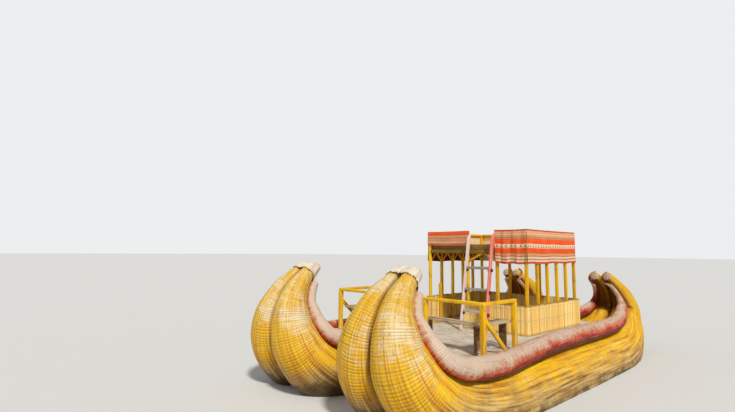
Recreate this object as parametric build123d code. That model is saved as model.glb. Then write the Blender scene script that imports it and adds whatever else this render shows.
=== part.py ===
from build123d import *
import os
from math import cos, hypot, radians, sin, sqrt

os.makedirs("parts", exist_ok=True)

# A reed boat of two hulls side by side, each of two great bundles of reed that
# turn up into horns at both ends. Millimetres, +X to the bows, +Y to port.
# While it is built, z = 0 is the top of the deck and x = 0 the cabin's front.

# Hulls
hullSpacing = 2600          # between the two hulls' middle planes
seat = 0.3                  # clearance where one round piece lies on another
pressLimit = 0.97           # widest reach of a bundle towards its twin, as a share of its radius
keelZ = -760                # middle of the bundles amidships

# One hull from bow tip to stern tip. Columns: x and z of the bundle's middle,
# its radius, its distance from the hull's middle plane, radius of the rolls
# on its edge, and the angle at which the roll lies on it, 90 being inside.
hullTable = [
    (3660, 1360, 118, 126, 66, 70),
    (3990, 1060, 195, 190, 88, 68),
    (4190, 710, 285, 270, 106, 58),
    (4200, 260, 410, 350, 124, 42),
    (3950, -190, 510, 420, 144, 46),
    (3380, -560, 575, 450, 165, 58),
    (2300, -752, 622, 450, 178, 64),
    (600, keelZ, 640, 450, 180, 72),
    (-1300, keelZ, 640, 450, 180, 73),
    (-2900, -738, 610, 440, 178, 76),
    (-3870, -520, 520, 400, 160, 82),
    (-4440, -140, 400, 335, 130, 84),
    (-4690, 280, 300, 285, 100, 84),
    (-4440, 730, 205, 205, 70, 73),
    (-3860, 1080, 115, 155, 44, 76),
]
rowPlay = 0.2               # least distance of a half row from a piece's end, in rows of the table
outerRoll = (0.42, 13.8)    # where the outer roll starts and ends, in rows of the table
innerRollBow = (0.42, 5.35)
innerRollStern = (9.3, 13.8)
rollStep = 120              # least distance between a roll's sections

# The rolls end at the stern in a curl round each bundle's cut end. Columns:
# side of the bundle, angle at which the curl starts, and how far it turns.
curlRow = 13.87             # where the curls lie, in rows of the table
curlSeat = 13.84            # row whose radius they clear
curlRadius = 32
curlTable = [
    (1, -250, 174),
    (-1, 100, 156),
]

# Hoods of cloth over the bow tips
hoodWall = 12
hoodPlay = 8                # air between hood and bundles
hoodSkirt = 0.36            # how far down the hood reaches, in rows of the table
hoodCrown = 105             # its height past the cut ends
crownRings = [(0.35, 0.84), (0.75, 0.55), (1, 0.25)]    # shares of the height and of the width

# Deck
deckThick = 60
deckFront, deckAft = 2750, -2950
deckPlay = 6                # between the deck's edge and the rolls
poleRadius = 30
poleCount = 6
poleFromEnd = 450           # from the deck's ends to the outermost poles
poleEndPlay = 20            # between the poles' ends and the rolls

# Railing at the bows
railX = 2420                # middle of the front posts
railInset = 15              # between the side posts and the deck's edge
railHeight = 880
railSide = 970              # how far the sides run aft
railPost = 80
railBar = (70, 60)          # width and height of the top bars
railPosts = [1, 1 / 3, -1 / 3, -1]
railBrace = (45, 70)        # thickness and depth of the slanted braces
railBraceTop = 640
railBraceRun = 740          # how far a brace runs aft to the deck

# Benches inside the railing
benchTop = 500
benchThick = 32
benchDepth = 270
benchGap = 15               # between bench planks and posts
benchPlay = 4               # between the front bench and the side ones
benchLeg = 35
benchLegs = [0.86, 0.3, -0.3, -0.86]
benchLegInset = 30          # from the front bench's edges to its legs
sideLegInset = 20           # the same on a side bench
sideLegFromEnd = 60         # from a side bench's aft end to its leg

# Cabin
cabinHalf = 1280            # middle of the posts, from the boat's middle
cabinLength = 2260          # between the middles of front and aft posts
cabinPost = 62
sidePosts = 6
frontPosts = [600, -162]    # y of the posts between the corners
aftPosts = [416, -416]
entryStub = (-970, 930)     # y and height of the short post by the entry
floorTop = 1870
floorThick = 40
floorPlay = 2               # between the floor and the posts
floorAftPlay = 5            # between the floor and the aft rail
boardFront = 10             # front of the board that closes the floor's edge
joistHeight = 90
joistPlay = 2               # between the end joists and the plates
joistWide = 60
joistCount = 6
plateHeight = 90            # beams on the posts
topRail = 45                # bar that carries the cloth
clothTop = 2180
clothLow = 1450
clothShortLow = 1880
clothShortPast = 78         # how far the short front cloth runs past the middle of its post
clothThick = 14

# Knee braces under the floor's edge. Columns: number of the side post or of the
# front post, direction along x or y, and how far the brace runs and falls.
kneeThick = 45
sideKnees = [
    (0, -1, 170, 170),
    (1, 1, 170, 170),
    (1, -1, 170, 170),
    (2, 1, 170, 170),
    (2, -1, 170, 170),
    (3, 1, 170, 170),
    (3, -1, 170, 170),
    (4, 1, 170, 170),
    (4, -1, 170, 170),
    (5, 1, 170, 170),
]
frontKnees = [
    (0, -1, 260, 150),
    (1, 1, 330, 170),
]

# Reed walls round the cabin
wallHeight = 610
wallThick = 45
wallOffSide = 10            # from the side posts to the reed wall
wallOffFront = 65           # from the front posts to the reed wall
wallCorner = 150            # outer radius of its corners
entryFrom, entryTo = -930, -205

# Ladder to the upper floor
ladderFoot = (475, 270)     # x and y of the middle of its foot
ladderTopX = 118
ladderTopZ = 2110
ladderWide = 660            # over the stiles
stile = (42, 92)            # thickness and depth
rung = (40, 60)             # depth and height
rungFirst = 415
rungStep = 465
rungCount = 3
groundSize = 4000           # of the block that cuts the stiles off at the deck


def hullAt(f):
    """Row f of the hull table, with a smooth curve between the rows."""
    last = len(hullTable) - 1
    i = max(0, min(last - 1, int(f)))
    t = f - i
    rows = [hullTable[max(0, min(last, k))] for k in (i - 1, i, i + 1, i + 2)]
    value, slope = [], []
    for a, b, c, d in zip(*rows):
        m0, m1 = (c - a) / 2, (d - b) / 2
        if i == 0:
            m0 = (c - b) * 1.5 - m1 / 2
        if i == last - 1:
            m1 = (c - b) * 1.5 - m0 / 2
        value.append(
            (2 * t**3 - 3 * t**2 + 1) * b
            + (t**3 - 2 * t**2 + t) * m0
            + (-2 * t**3 + 3 * t**2) * c
            + (t**3 - t**2) * m1
        )
        slope.append(
            (6 * t**2 - 6 * t) * b
            + (3 * t**2 - 4 * t + 1) * m0
            + (-6 * t**2 + 6 * t) * c
            + (3 * t**2 - 2 * t) * m1
        )
    size = hypot(slope[0], slope[1])
    return value, (slope[0] / size, slope[1] / size)


def hullPlane(f, y, inward=0, past=0):
    """Plane square to the bundles at row f, moved inward to the horn's hollow."""
    (x, z, *_), (tx, tz) = hullAt(f)
    origin = (x + inward * tz + past * tx, y, z - inward * tx + past * tz)
    return Plane(origin=origin, x_dir=(0, 1, 0), z_dir=(tx, 0, tz))


def rowsBetween(start, end):
    """Rows and half rows of the hull table from start to end."""
    inner = [k / 2 for k in range(2 * len(hullTable)) if start + rowPlay < k / 2 < end - rowPlay]
    return [start] + inner + [end]


def bundle(hullY, side):
    """One of a hull's two great bundles, flattened where it presses on its twin."""
    sections = []
    for f in rowsBetween(0, len(hullTable) - 1):
        (x, z, r, a, *_), _ = hullAt(f)
        flat = min(a, pressLimit * r)
        half = sqrt(r**2 - flat**2)
        low, high = (-side * flat, -half), (-side * flat, half)
        face = make_face([ThreePointArc(low, (side * r, 0), high), Line(high, low)])
        sections.append(hullPlane(f, hullY + side * a) * face)
    return loft(sections, ruled=True)


def rollCentre(f, side):
    """Middle of the roll that lies on a bundle at row f, and its radius."""
    (x, z, r, a, roll, angle), (tx, tz) = hullAt(f)
    reach = r + roll + seat
    inward = reach * sin(radians(angle))
    return Vector(x + inward * tz, side * (a + reach * cos(radians(angle))), z - inward * tx), roll


def edgeRoll(hullY, side, start, end):
    """A roll of reed along a hull's edge, from row start to row end."""
    centres = []
    for f in rowsBetween(start, end):
        centre, radius = rollCentre(f, side)
        centre += Vector(0, hullY, 0)
        if not centres or (centre - centres[-1][0]).length > rollStep:
            centres.append((centre, radius))
    sections = []
    for k, (centre, radius) in enumerate(centres):
        before, after = centres[max(0, k - 1)][0], centres[min(len(centres) - 1, k + 1)][0]
        along = after - before
        plane = Plane(origin=centre, x_dir=(0, 1, 0), z_dir=(along.X, 0, along.Z))
        sections.append(plane * Circle(radius))
    return loft(sections, ruled=True)


def rollEdge(f, low, high):
    """Half the width between the boat's outer rolls at row f, at heights from low to high."""
    centre, radius = rollCentre(f, 1)
    level = min(max(centre.Z, low), high)
    return hullSpacing / 2 + centre.Y - sqrt(radius**2 - (centre.Z - level)**2)


def curl(hullY, side, start, turn):
    """Curl of a roll round the cut end of a bundle."""
    middle = hullPlane(curlRow, hullY + side * hullAt(curlRow)[0][3])
    reach = hullAt(curlSeat)[0][2] + curlRadius + seat
    section = middle.location * Rot(0, 0, start) * Pos(reach, 0, 0) * Rot(90, 0, 0) * Circle(curlRadius)
    return revolve(section, axis=Axis(middle.origin, middle.z_dir), revolution_arc=turn)


def hoodShell(hullY, grow, rings):
    """Solid of slot-shaped rings: row of the table, height past the cut ends, share of the width."""
    sections = []
    for f, past, share in rings:
        (x, z, r, a, *_), _ = hullAt(f)
        slot = SlotOverall(2 * (a + r + grow) * share, 2 * (r + grow) * share)
        sections.append(hullPlane(f, hullY, 0, -past) * slot)
    return loft(sections, ruled=True)


def hood(hullY):
    """Cloth hood over the two cut ends of a bow horn, lying on them."""
    crown = [(0, hoodCrown * rise, share) for rise, share in crownRings]
    outer = hoodShell(hullY, hoodPlay + hoodWall, [(hoodSkirt, 0, 1), (0, 0, 1)] + crown)
    inner = hoodShell(hullY, hoodPlay, [(hoodSkirt, 0, 1), (0, seat, 1)])
    return outer - inner


def beam(start, end, wide, deep, upright=(0, 0, 1)):
    """Square timber between two points; deep is measured towards upright."""
    a, b = Vector(*start), Vector(*end)
    along = (b - a).normalized()
    side = along.cross(Vector(*upright)).normalized()
    plane = Plane(origin=a, x_dir=side, z_dir=along)
    return extrude(plane * Rectangle(wide, deep), (b - a).length)


def box(low, high):
    size = [h - l for l, h in zip(low, high)]
    return Pos(*[(l + h) / 2 for l, h in zip(low, high)]) * Box(*size)


nodes = {}

# Hulls: the port one is made, and the starboard one is its mirror image
hullY = hullSpacing / 2
portHull = {
    "bundle_port_outer": bundle(hullY, 1),
    "bundle_port_inner": bundle(hullY, -1),
    "roll_port_outer": edgeRoll(hullY, 1, *outerRoll),
    "roll_port_inner_bow": edgeRoll(hullY, -1, *innerRollBow),
    "roll_port_inner_stern": edgeRoll(hullY, -1, *innerRollStern),
    "hood_port": hood(hullY),
    "curls_port": Compound([curl(hullY, *row) for row in curlTable]),
}
for name, shape in portHull.items():
    nodes[name] = shape
    nodes[name.replace("port", "starboard")] = mirror(shape, Plane.XZ)

# Deck of reed matting on cross poles, its edges along the rolls
edge = []
for k in range(11, 20):
    edge.append((rollCentre(k / 2, 1)[0].X, rollEdge(k / 2, -deckThick, 0) - deckPlay))
between = Polygon(*edge, *[(x, -y) for x, y in reversed(edge)], align=None)
deckMiddle = (deckFront + deckAft) / 2
deckOutline = between & Pos(deckMiddle, 0) * Rectangle(deckFront - deckAft, 2 * hullSpacing)
nodes["deck"] = extrude(Plane.XY.offset(-deckThick) * deckOutline, deckThick)
poleLow = -deckThick - 2 * poleRadius
poleReach = min(rollEdge(k / 2, poleLow, -deckThick) for k in range(12, 19)) - poleEndPlay
poles = []
for k in range(poleCount):
    x = deckAft + poleFromEnd + (deckFront - deckAft - 2 * poleFromEnd) * k / (poleCount - 1)
    pole = Plane(origin=(x, -poleReach, -deckThick - poleRadius), z_dir=(0, 1, 0)) * Circle(poleRadius)
    poles.append(extrude(pole, 2 * poleReach))
nodes["deck_poles"] = Compound(poles)

# Railing
postTop = railHeight - railBar[1]
railHalf = rollEdge(6.5, -deckThick, 0) - deckPlay - railInset - railPost / 2
posts = []
for share in railPosts:
    posts.append((railX, share * railHalf))
for side in (1, -1):
    posts.append((railX - railSide, side * railHalf))
half = railPost / 2
nodes["railing_posts"] = Compound([
    box((x - half, y - half, 0), (x + half, y + half, postTop)) for x, y in posts
])
barHalf = railBar[0] / 2
frontBar = box(
    (railX - barHalf, -railHalf - barHalf, postTop), (railX + barHalf, railHalf + barHalf, railHeight)
)
sideBars = [
    box(
        (railX - railSide - half, side * railHalf - barHalf, postTop),
        (railX - barHalf, side * railHalf + barHalf, railHeight),
    )
    for side in (1, -1)
]
nodes["railing_bars"] = Compound([frontBar] + sideBars)
braces = []
for side in (1, -1):
    y = side * railHalf
    foot = (railX - railBraceRun, y, -deckThick / 2)
    long = beam((railX, y, railBraceTop), foot, *railBrace)
    braces.append(long - nodes["railing_posts"] - nodes["deck"])
nodes["railing_braces"] = Compound(braces)

# Benches
benchX = railX - half - benchGap
benchBack = benchX - benchDepth
benchOut = railHalf - half - benchGap
benchLow = benchTop - benchThick
nodes["bench_front"] = box((benchBack, -benchOut, benchLow), (benchX, benchOut, benchTop))
sideSeats = []
legs = []
sideEnd = railX - railSide
legX = sideEnd + sideLegFromEnd
for side in (1, -1):
    ys = sorted((side * benchOut, side * (benchOut - benchDepth)))
    sideSeats.append(box((sideEnd, ys[0], benchLow), (benchBack - benchPlay, ys[1], benchTop)))
    legs.append(box((legX, ys[0] + sideLegInset, 0), (legX + benchLeg, ys[1] - sideLegInset, benchLow)))
for share in benchLegs:
    y = share * railHalf
    low = (benchBack + benchLegInset, y - benchLeg / 2, 0)
    legs.append(box(low, (benchX - benchLegInset, y + benchLeg / 2, benchLow)))
nodes["bench_sides"] = Compound(sideSeats)
nodes["bench_legs"] = Compound(legs)

# Cabin frame
postHalf = cabinPost / 2
railLow = clothTop - topRail
plateTop = floorTop - floorThick - joistHeight
plateLow = plateTop - plateHeight
for name, side in (("port", 1), ("starboard", -1)):
    posts = []
    for k in range(sidePosts):
        x = -cabinLength * k / (sidePosts - 1)
        top = railLow if k in (0, sidePosts - 1) else plateLow
        y = side * cabinHalf
        posts.append(box((x - postHalf, y - postHalf, 0), (x + postHalf, y + postHalf, top)))
    nodes[f"posts_{name}"] = Compound(posts)
ends = []
for y in frontPosts:
    ends.append(box((-postHalf, y - postHalf, 0), (postHalf, y + postHalf, railLow)))
for y in aftPosts:
    low = (-cabinLength - postHalf, y - postHalf, 0)
    ends.append(box(low, (-cabinLength + postHalf, y + postHalf, plateLow)))
stubY, stubTop = entryStub
ends.append(box((-postHalf, stubY - postHalf, 0), (postHalf, stubY + postHalf, stubTop)))
nodes["posts_ends"] = Compound(ends)

# Floor beams: plates run between the corner posts, joists lie across them
plates = []
for side in (1, -1):
    y = side * cabinHalf
    low = (-cabinLength + postHalf, y - postHalf, plateLow)
    plates.append(box(low, (-postHalf, y + postHalf, plateTop)))
plateAft = cabinHalf - postHalf
plates.append(box(
    (-cabinLength - postHalf, -plateAft, plateLow), (-cabinLength + postHalf, plateAft, plateTop)
))
frontStops = [cabinHalf] + frontPosts + [-cabinHalf]
for right, left in zip(frontStops[1:], frontStops[:-1]):
    plates.append(box((-postHalf, right + postHalf, plateLow), (postHalf, left - postHalf, plateTop)))
nodes["floor_plates"] = Compound(plates)
joists = []
joistFromEnd = postHalf + joistWide / 2 + joistPlay
joistReach = cabinHalf + postHalf
for k in range(joistCount):
    x = -cabinLength * k / (joistCount - 1)
    x = max(-cabinLength + joistFromEnd, min(-joistFromEnd, x))
    low = (x - joistWide / 2, -joistReach, plateTop)
    joists.append(box(low, (x + joistWide / 2, joistReach, plateTop + joistHeight)))
nodes["floor_joists"] = Compound(joists)
floorHalf = cabinHalf - postHalf - floorPlay
floorAft = -cabinLength + topRail / 2 + floorAftPlay
nodes["upper_floor"] = box(
    (floorAft, -floorHalf, floorTop - floorThick), (-postHalf - floorPlay, floorHalf, floorTop)
)
nodes["floor_front_board"] = box(
    (-postHalf, frontPosts[1] + postHalf, plateTop), (boardFront, frontPosts[0] - postHalf, floorTop)
)
rails = []
for side in (1, -1):
    y = side * cabinHalf
    low = (-cabinLength - postHalf, y - topRail / 2, railLow)
    rails.append(box(low, (postHalf, y + topRail / 2, clothTop)))
    stop = frontPosts[0] - postHalf if side > 0 else frontPosts[1] + postHalf
    ys = sorted((side * (cabinHalf - topRail / 2), stop))
    rails.append(box((-topRail / 2, ys[0], railLow), (topRail / 2, ys[1], clothTop)))
railEnd = cabinHalf - topRail / 2
rails.append(box(
    (-cabinLength - topRail / 2, -railEnd, railLow), (-cabinLength + topRail / 2, railEnd, clothTop)
))
nodes["top_rails"] = Compound(rails)


def knee(x, y, way, run, fall):
    """Brace from a post at x and y up to the plate, towards the direction way."""
    back = fall / run * postHalf
    low, high = plateLow - fall - back, plateLow + back
    reach = run + 2 * postHalf
    return beam((x, y, low), (x + way[0] * reach, y + way[1] * reach, high), kneeThick, kneeThick)


knees = []
for side in (1, -1):
    for k, way, run, fall in sideKnees:
        knees.append(knee(-cabinLength * k / (sidePosts - 1), side * cabinHalf, (way, 0), run, fall))
for k, way, run, fall in frontKnees:
    knees.append(knee(0, frontPosts[k], (0, way), run, fall))
frame = [nodes["posts_port"], nodes["posts_starboard"], nodes["posts_ends"]]
frame += [nodes["floor_plates"], nodes["floor_joists"]]
trimmed = []
for long in knees:
    for timber in frame:
        long = long - timber
    trimmed.append(max(long.solids(), key=lambda solid: solid.volume))
nodes["knee_braces"] = Compound(trimmed)

# Cloth round the upper floor
clothIn = cabinHalf + postHalf + seat
clothOut = clothIn + clothThick
clothFront = postHalf + seat
clothBack = -cabinLength - postHalf - seat
for name, side in (("port", 1), ("starboard", -1)):
    ys = sorted((side * clothIn, side * clothOut))
    nodes[f"cloth_{name}"] = box((clothBack, ys[0], clothLow), (clothFront, ys[1], clothTop))
nodes["cloth_aft"] = box((clothBack - clothThick, -clothOut, clothLow), (clothBack, clothOut, clothTop))
nodes["cloth_front_port"] = box(
    (clothFront, frontPosts[0] - postHalf, clothLow), (clothFront + clothThick, clothOut, clothTop)
)
nodes["cloth_front_starboard"] = box(
    (clothFront, -clothOut, clothShortLow),
    (clothFront + clothThick, frontPosts[1] + clothShortPast, clothTop),
)

# Reed walls
wallIn = cabinHalf + postHalf + wallOffSide
wallOut = wallIn + wallThick
wallFront = postHalf + wallOffFront
wallBack = -cabinLength - postHalf - wallOffSide
straightFront = wallFront + wallThick - wallCorner
straightOut = wallOut - wallCorner


def cornerWall(side):
    """Front wall that turns the corner in a quarter round."""
    x, y = straightFront, side * straightOut
    ring = Circle(wallCorner) - Circle(wallCorner - wallThick)
    quarter = Pos(wallCorner / 2, side * wallCorner / 2) * Rectangle(wallCorner, wallCorner)
    bend = Pos(x, y) * (ring & quarter)
    ys = sorted((y, entryTo if side > 0 else entryFrom))
    front = Pos(x + wallCorner - wallThick / 2, sum(ys) / 2) * Rectangle(wallThick, ys[1] - ys[0])
    return extrude(bend + front, wallHeight)


nodes["wall_front_port"] = cornerWall(1)
nodes["wall_front_starboard"] = cornerWall(-1)
for name, side in (("port", 1), ("starboard", -1)):
    ys = sorted((side * wallIn, side * wallOut))
    nodes[f"wall_{name}"] = box((wallBack, ys[0], 0), (straightFront, ys[1], wallHeight))
nodes["wall_aft"] = box((wallBack - wallThick, -wallOut, 0), (wallBack, wallOut, wallHeight))

# Ladder
footX, ladderY = ladderFoot
lean = Vector(ladderTopX - footX, 0, ladderTopZ).normalized()
stiles = []
for side in (1, -1):
    y = ladderY + side * (ladderWide - stile[0]) / 2
    stiles.append(beam((footX, y, 0), (ladderTopX, y, ladderTopZ), stile[0], stile[1]))
ground = Pos(0, 0, -groundSize / 2) * Box(groundSize, groundSize, groundSize)
nodes["ladder_stiles"] = Compound([s - ground for s in stiles])
rungs = []
for k in range(rungCount):
    z = rungFirst + rungStep * k
    x = footX + (ladderTopX - footX) * z / ladderTopZ
    wide = ladderWide - 2 * stile[0]
    plane = Plane(origin=(x, ladderY - wide / 2, z), x_dir=lean.cross(Vector(0, 1, 0)), z_dir=(0, 1, 0))
    rungs.append(extrude(plane * Rectangle(*rung), wide))
nodes["ladder_rungs"] = Compound(rungs)

# The origin goes to the middle of the boat's outline, on the ground
whole = Compound([s for shape in nodes.values() for s in shape.solids()]).bounding_box()
shift = Pos(-(whole.min.X + whole.max.X) / 2, -(whole.min.Y + whole.max.Y) / 2, -whole.min.Z)
for name, shape in nodes.items():
    placed = shift * Compound(shape.solids()) if len(shape.solids()) > 1 else shift * shape.solids()[0]
    export_step(placed, f"parts/{name}.step")
size = whole.size
print(f"length {size.X:.0f}, width {size.Y:.0f}, height {size.Z:.0f}, nodes {len(nodes)}")
print(f"cabin front at x = {-(whole.min.X + whole.max.X) / 2:.1f}, deck at z = {-whole.min.Z:.1f}")
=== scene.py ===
import bpy
import math
import random
import numpy as np
from mathutils import Matrix, Vector


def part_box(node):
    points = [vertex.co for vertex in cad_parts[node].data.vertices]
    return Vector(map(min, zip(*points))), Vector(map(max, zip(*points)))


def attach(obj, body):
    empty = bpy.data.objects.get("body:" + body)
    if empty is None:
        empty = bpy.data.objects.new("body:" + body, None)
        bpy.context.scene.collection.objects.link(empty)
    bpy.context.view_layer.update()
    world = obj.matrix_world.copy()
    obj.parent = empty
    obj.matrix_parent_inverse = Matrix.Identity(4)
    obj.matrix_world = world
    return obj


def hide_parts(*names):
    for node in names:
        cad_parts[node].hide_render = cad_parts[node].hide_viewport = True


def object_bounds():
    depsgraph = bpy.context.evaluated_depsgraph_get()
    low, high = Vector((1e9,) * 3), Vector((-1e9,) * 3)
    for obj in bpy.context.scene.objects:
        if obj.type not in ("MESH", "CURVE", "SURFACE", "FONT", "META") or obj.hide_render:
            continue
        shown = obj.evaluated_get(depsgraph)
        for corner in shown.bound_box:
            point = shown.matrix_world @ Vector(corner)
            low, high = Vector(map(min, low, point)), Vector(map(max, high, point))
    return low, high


# A reed boat with two hulls: bundles and rolls of reed, a cabin with an upper floor, a railing and a ladder.
# Metres, +X to the bows, +Y to port. Places are given from the deck's top and the cabin's front posts.

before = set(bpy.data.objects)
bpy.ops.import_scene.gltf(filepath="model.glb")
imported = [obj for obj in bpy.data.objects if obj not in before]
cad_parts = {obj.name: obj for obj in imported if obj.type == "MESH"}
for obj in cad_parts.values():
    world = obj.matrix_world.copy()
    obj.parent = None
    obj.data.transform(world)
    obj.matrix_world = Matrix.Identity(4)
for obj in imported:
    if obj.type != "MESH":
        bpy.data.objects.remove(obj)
cadBox = [list(corner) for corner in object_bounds()]
print("frame loaded")

postWide = 0.062
freeboard = 0.85
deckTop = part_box("deck")[1].z
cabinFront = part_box("posts_port")[1].x - postWide / 2
hullMid = (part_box("hood_port")[0].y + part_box("hood_port")[1].y) / 2
waterline = deckTop - freeboard
hulls = (("port", 1), ("starboard", -1))
fullTurn = 2 * math.pi
random.seed(7)
dice = np.random.default_rng(7)


def onDeck(x, y, z):
    return Vector((x + cabinFront, y, z + deckTop))


# Small steps that every piece uses

def deselectAll():
    bpy.ops.object.select_all(action="DESELECT")


def useAlone(piece):
    deselectAll()
    piece.select_set(True)
    bpy.context.view_layer.objects.active = piece


def addNew(operator, **settings):
    deselectAll()
    operator(**settings)
    return bpy.context.object


def addMesh(operator, location=(0, 0, 0), **settings):
    # A primitive at its size and place, with its origin back at zero
    piece = addNew(operator, location=location, **settings)
    bpy.ops.object.transform_apply(location=True, rotation=True, scale=True)
    return piece


def setMode(mode):
    bpy.ops.object.mode_set(mode=mode)


def editAll(piece):
    useAlone(piece)
    setMode("EDIT")
    bpy.ops.mesh.select_all(action="SELECT")


def editWhere(piece, kind, test):
    # Edit mode with only those vertices, edges or faces selected that the test picks
    useAlone(piece)
    setMode("EDIT")
    bpy.ops.mesh.select_mode(type=kind)
    bpy.ops.mesh.select_all(action="DESELECT")
    setMode("OBJECT")
    mesh = piece.data
    for item in {"VERT": mesh.vertices, "EDGE": mesh.edges, "FACE": mesh.polygons}[kind]:
        item.select = test(item)
    setMode("EDIT")


def divide(piece, axis, longer, cuts):
    # Cuts across every edge that runs further than that along one axis
    def runsFar(edge):
        a, b = (piece.data.vertices[k].co for k in edge.vertices)
        return abs((b - a)[axis]) > longer

    editWhere(piece, "EDGE", runsFar)
    bpy.ops.mesh.subdivide(number_cuts=cuts)
    setMode("OBJECT")


def applyModifier(piece, kind, **settings):
    useAlone(piece)
    made = piece.modifiers.new(kind.lower(), kind)
    for key, value in settings.items():
        setattr(made, key, value)
    bpy.ops.object.modifier_apply(modifier=made.name)


def repeat(piece, count, step, **settings):
    applyModifier(piece, "ARRAY", count=count, use_relative_offset=False, use_constant_offset=True,
                  constant_offset_displace=step, **settings)


def smooth(piece, angle=None):
    useAlone(piece)
    if angle:
        bpy.ops.object.shade_smooth_by_angle(angle=math.radians(angle))
    else:
        bpy.ops.object.shade_smooth()


def joinPieces(name, parts):
    useAlone(parts[0])
    for part in parts:
        part.select_set(True)
    if len(parts) > 1:
        bpy.ops.object.join()
    parts[0].name = parts[0].data.name = name
    return parts[0]


def readPoints(piece):
    points = np.zeros(len(piece.data.vertices) * 3)
    piece.data.vertices.foreach_get("co", points)
    return points.reshape(-1, 3)


def writePoints(piece, points):
    piece.data.vertices.foreach_set("co", points.astype(np.float32).ravel())
    piece.data.update()


def writeValue(piece, name, values):
    mesh = piece.data
    made = mesh.attributes.get(name) or mesh.attributes.new(name, "FLOAT", "POINT")
    spread = np.broadcast_to(np.asarray(values, np.float32), len(mesh.vertices))
    made.data.foreach_set("value", spread.copy())


def writeUv(piece, u, v, turns=False):
    # turns: v goes once round and closes on itself, so the last face runs on past 1
    mesh = piece.data
    corners = np.zeros(len(mesh.loops), int)
    mesh.loops.foreach_get("vertex_index", corners)
    loopU, loopV = u[corners], v[corners]
    if turns:
        sizes = np.zeros(len(mesh.polygons), int)
        mesh.polygons.foreach_get("loop_total", sizes)
        starts = np.concatenate([[0], np.cumsum(sizes)[:-1]])
        highest = np.repeat(np.maximum.reduceat(loopV, starts), sizes)
        loopV[highest - loopV > 0.5] += 1
    layer = mesh.uv_layers.active or mesh.uv_layers.new(name="UVMap")
    layer.data.foreach_set("uv", np.stack([loopU, loopV], 1).astype(np.float32).ravel())


def unit(vectors):
    return vectors / np.maximum(np.linalg.norm(vectors, axis=1), 1e-6)[:, None]


def keepInside(piece):
    # Nothing rigid stands proud of the solids' whole box
    writePoints(piece, np.clip(readPoints(piece), *cadBox))


def handOver(piece, material, node=None):
    piece.data.materials.clear()
    piece.data.materials.append(material)
    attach(piece, "root")
    if node:
        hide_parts(node)


# Materials: colours are written as red, green and blue from 0 to 255, or as one number from 0 to 1

def rgba(colour):
    if not isinstance(colour, tuple):
        return (colour, colour, colour, 1)
    linear = [c / 255 / 12.92 if c <= 10 else ((c / 255 + 0.055) / 1.055) ** 2.4 for c in colour]
    return (*linear, 1)


class Value:
    # A number or colour inside a material; whatever is worked out from it makes the nodes for that
    def __init__(self, paint, socket):
        self.paint, self.socket = paint, socket

    def math(self, operation, other=0.0):
        return self.paint.node("Math", "Value", {0: self, 1: other}, operation=operation)

    def __add__(self, other):
        return self.math("ADD", other)

    def __sub__(self, other):
        return self.math("SUBTRACT", other)

    def __mul__(self, other):
        return self.math("MULTIPLY", other)

    def __truediv__(self, other):
        return self.math("DIVIDE", other)

    def __abs__(self):
        return self.math("ABSOLUTE")

    def floor(self):
        return self.math("FLOOR")

    def fromMiddle(self):
        # 0 in the middle of each whole step, 0.5 at its ends
        return abs(self.math("FRACT") - 0.5)

    def swing(self, size):
        # Noise from 0 to 1, spread to both sides of zero
        return (self - 0.5) * size

    def span(self, low, high, start=0.0, end=1.0):
        return self.paint.node("MapRange", "Result", {
            "Value": self, "From Min": low, "From Max": high, "To Min": start, "To Max": end})

    def ramp(self, *stops, how="LINEAR"):
        made = self.paint.node("ValToRGB", "Color", {"Fac": self})
        ramp = made.socket.node.color_ramp
        ramp.interpolation = how
        for _ in stops[2:]:
            ramp.elements.new(0.5)
        for element, (spot, colour) in zip(ramp.elements, stops):
            element.position, element.color = spot, rgba(colour)
        return made


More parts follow.
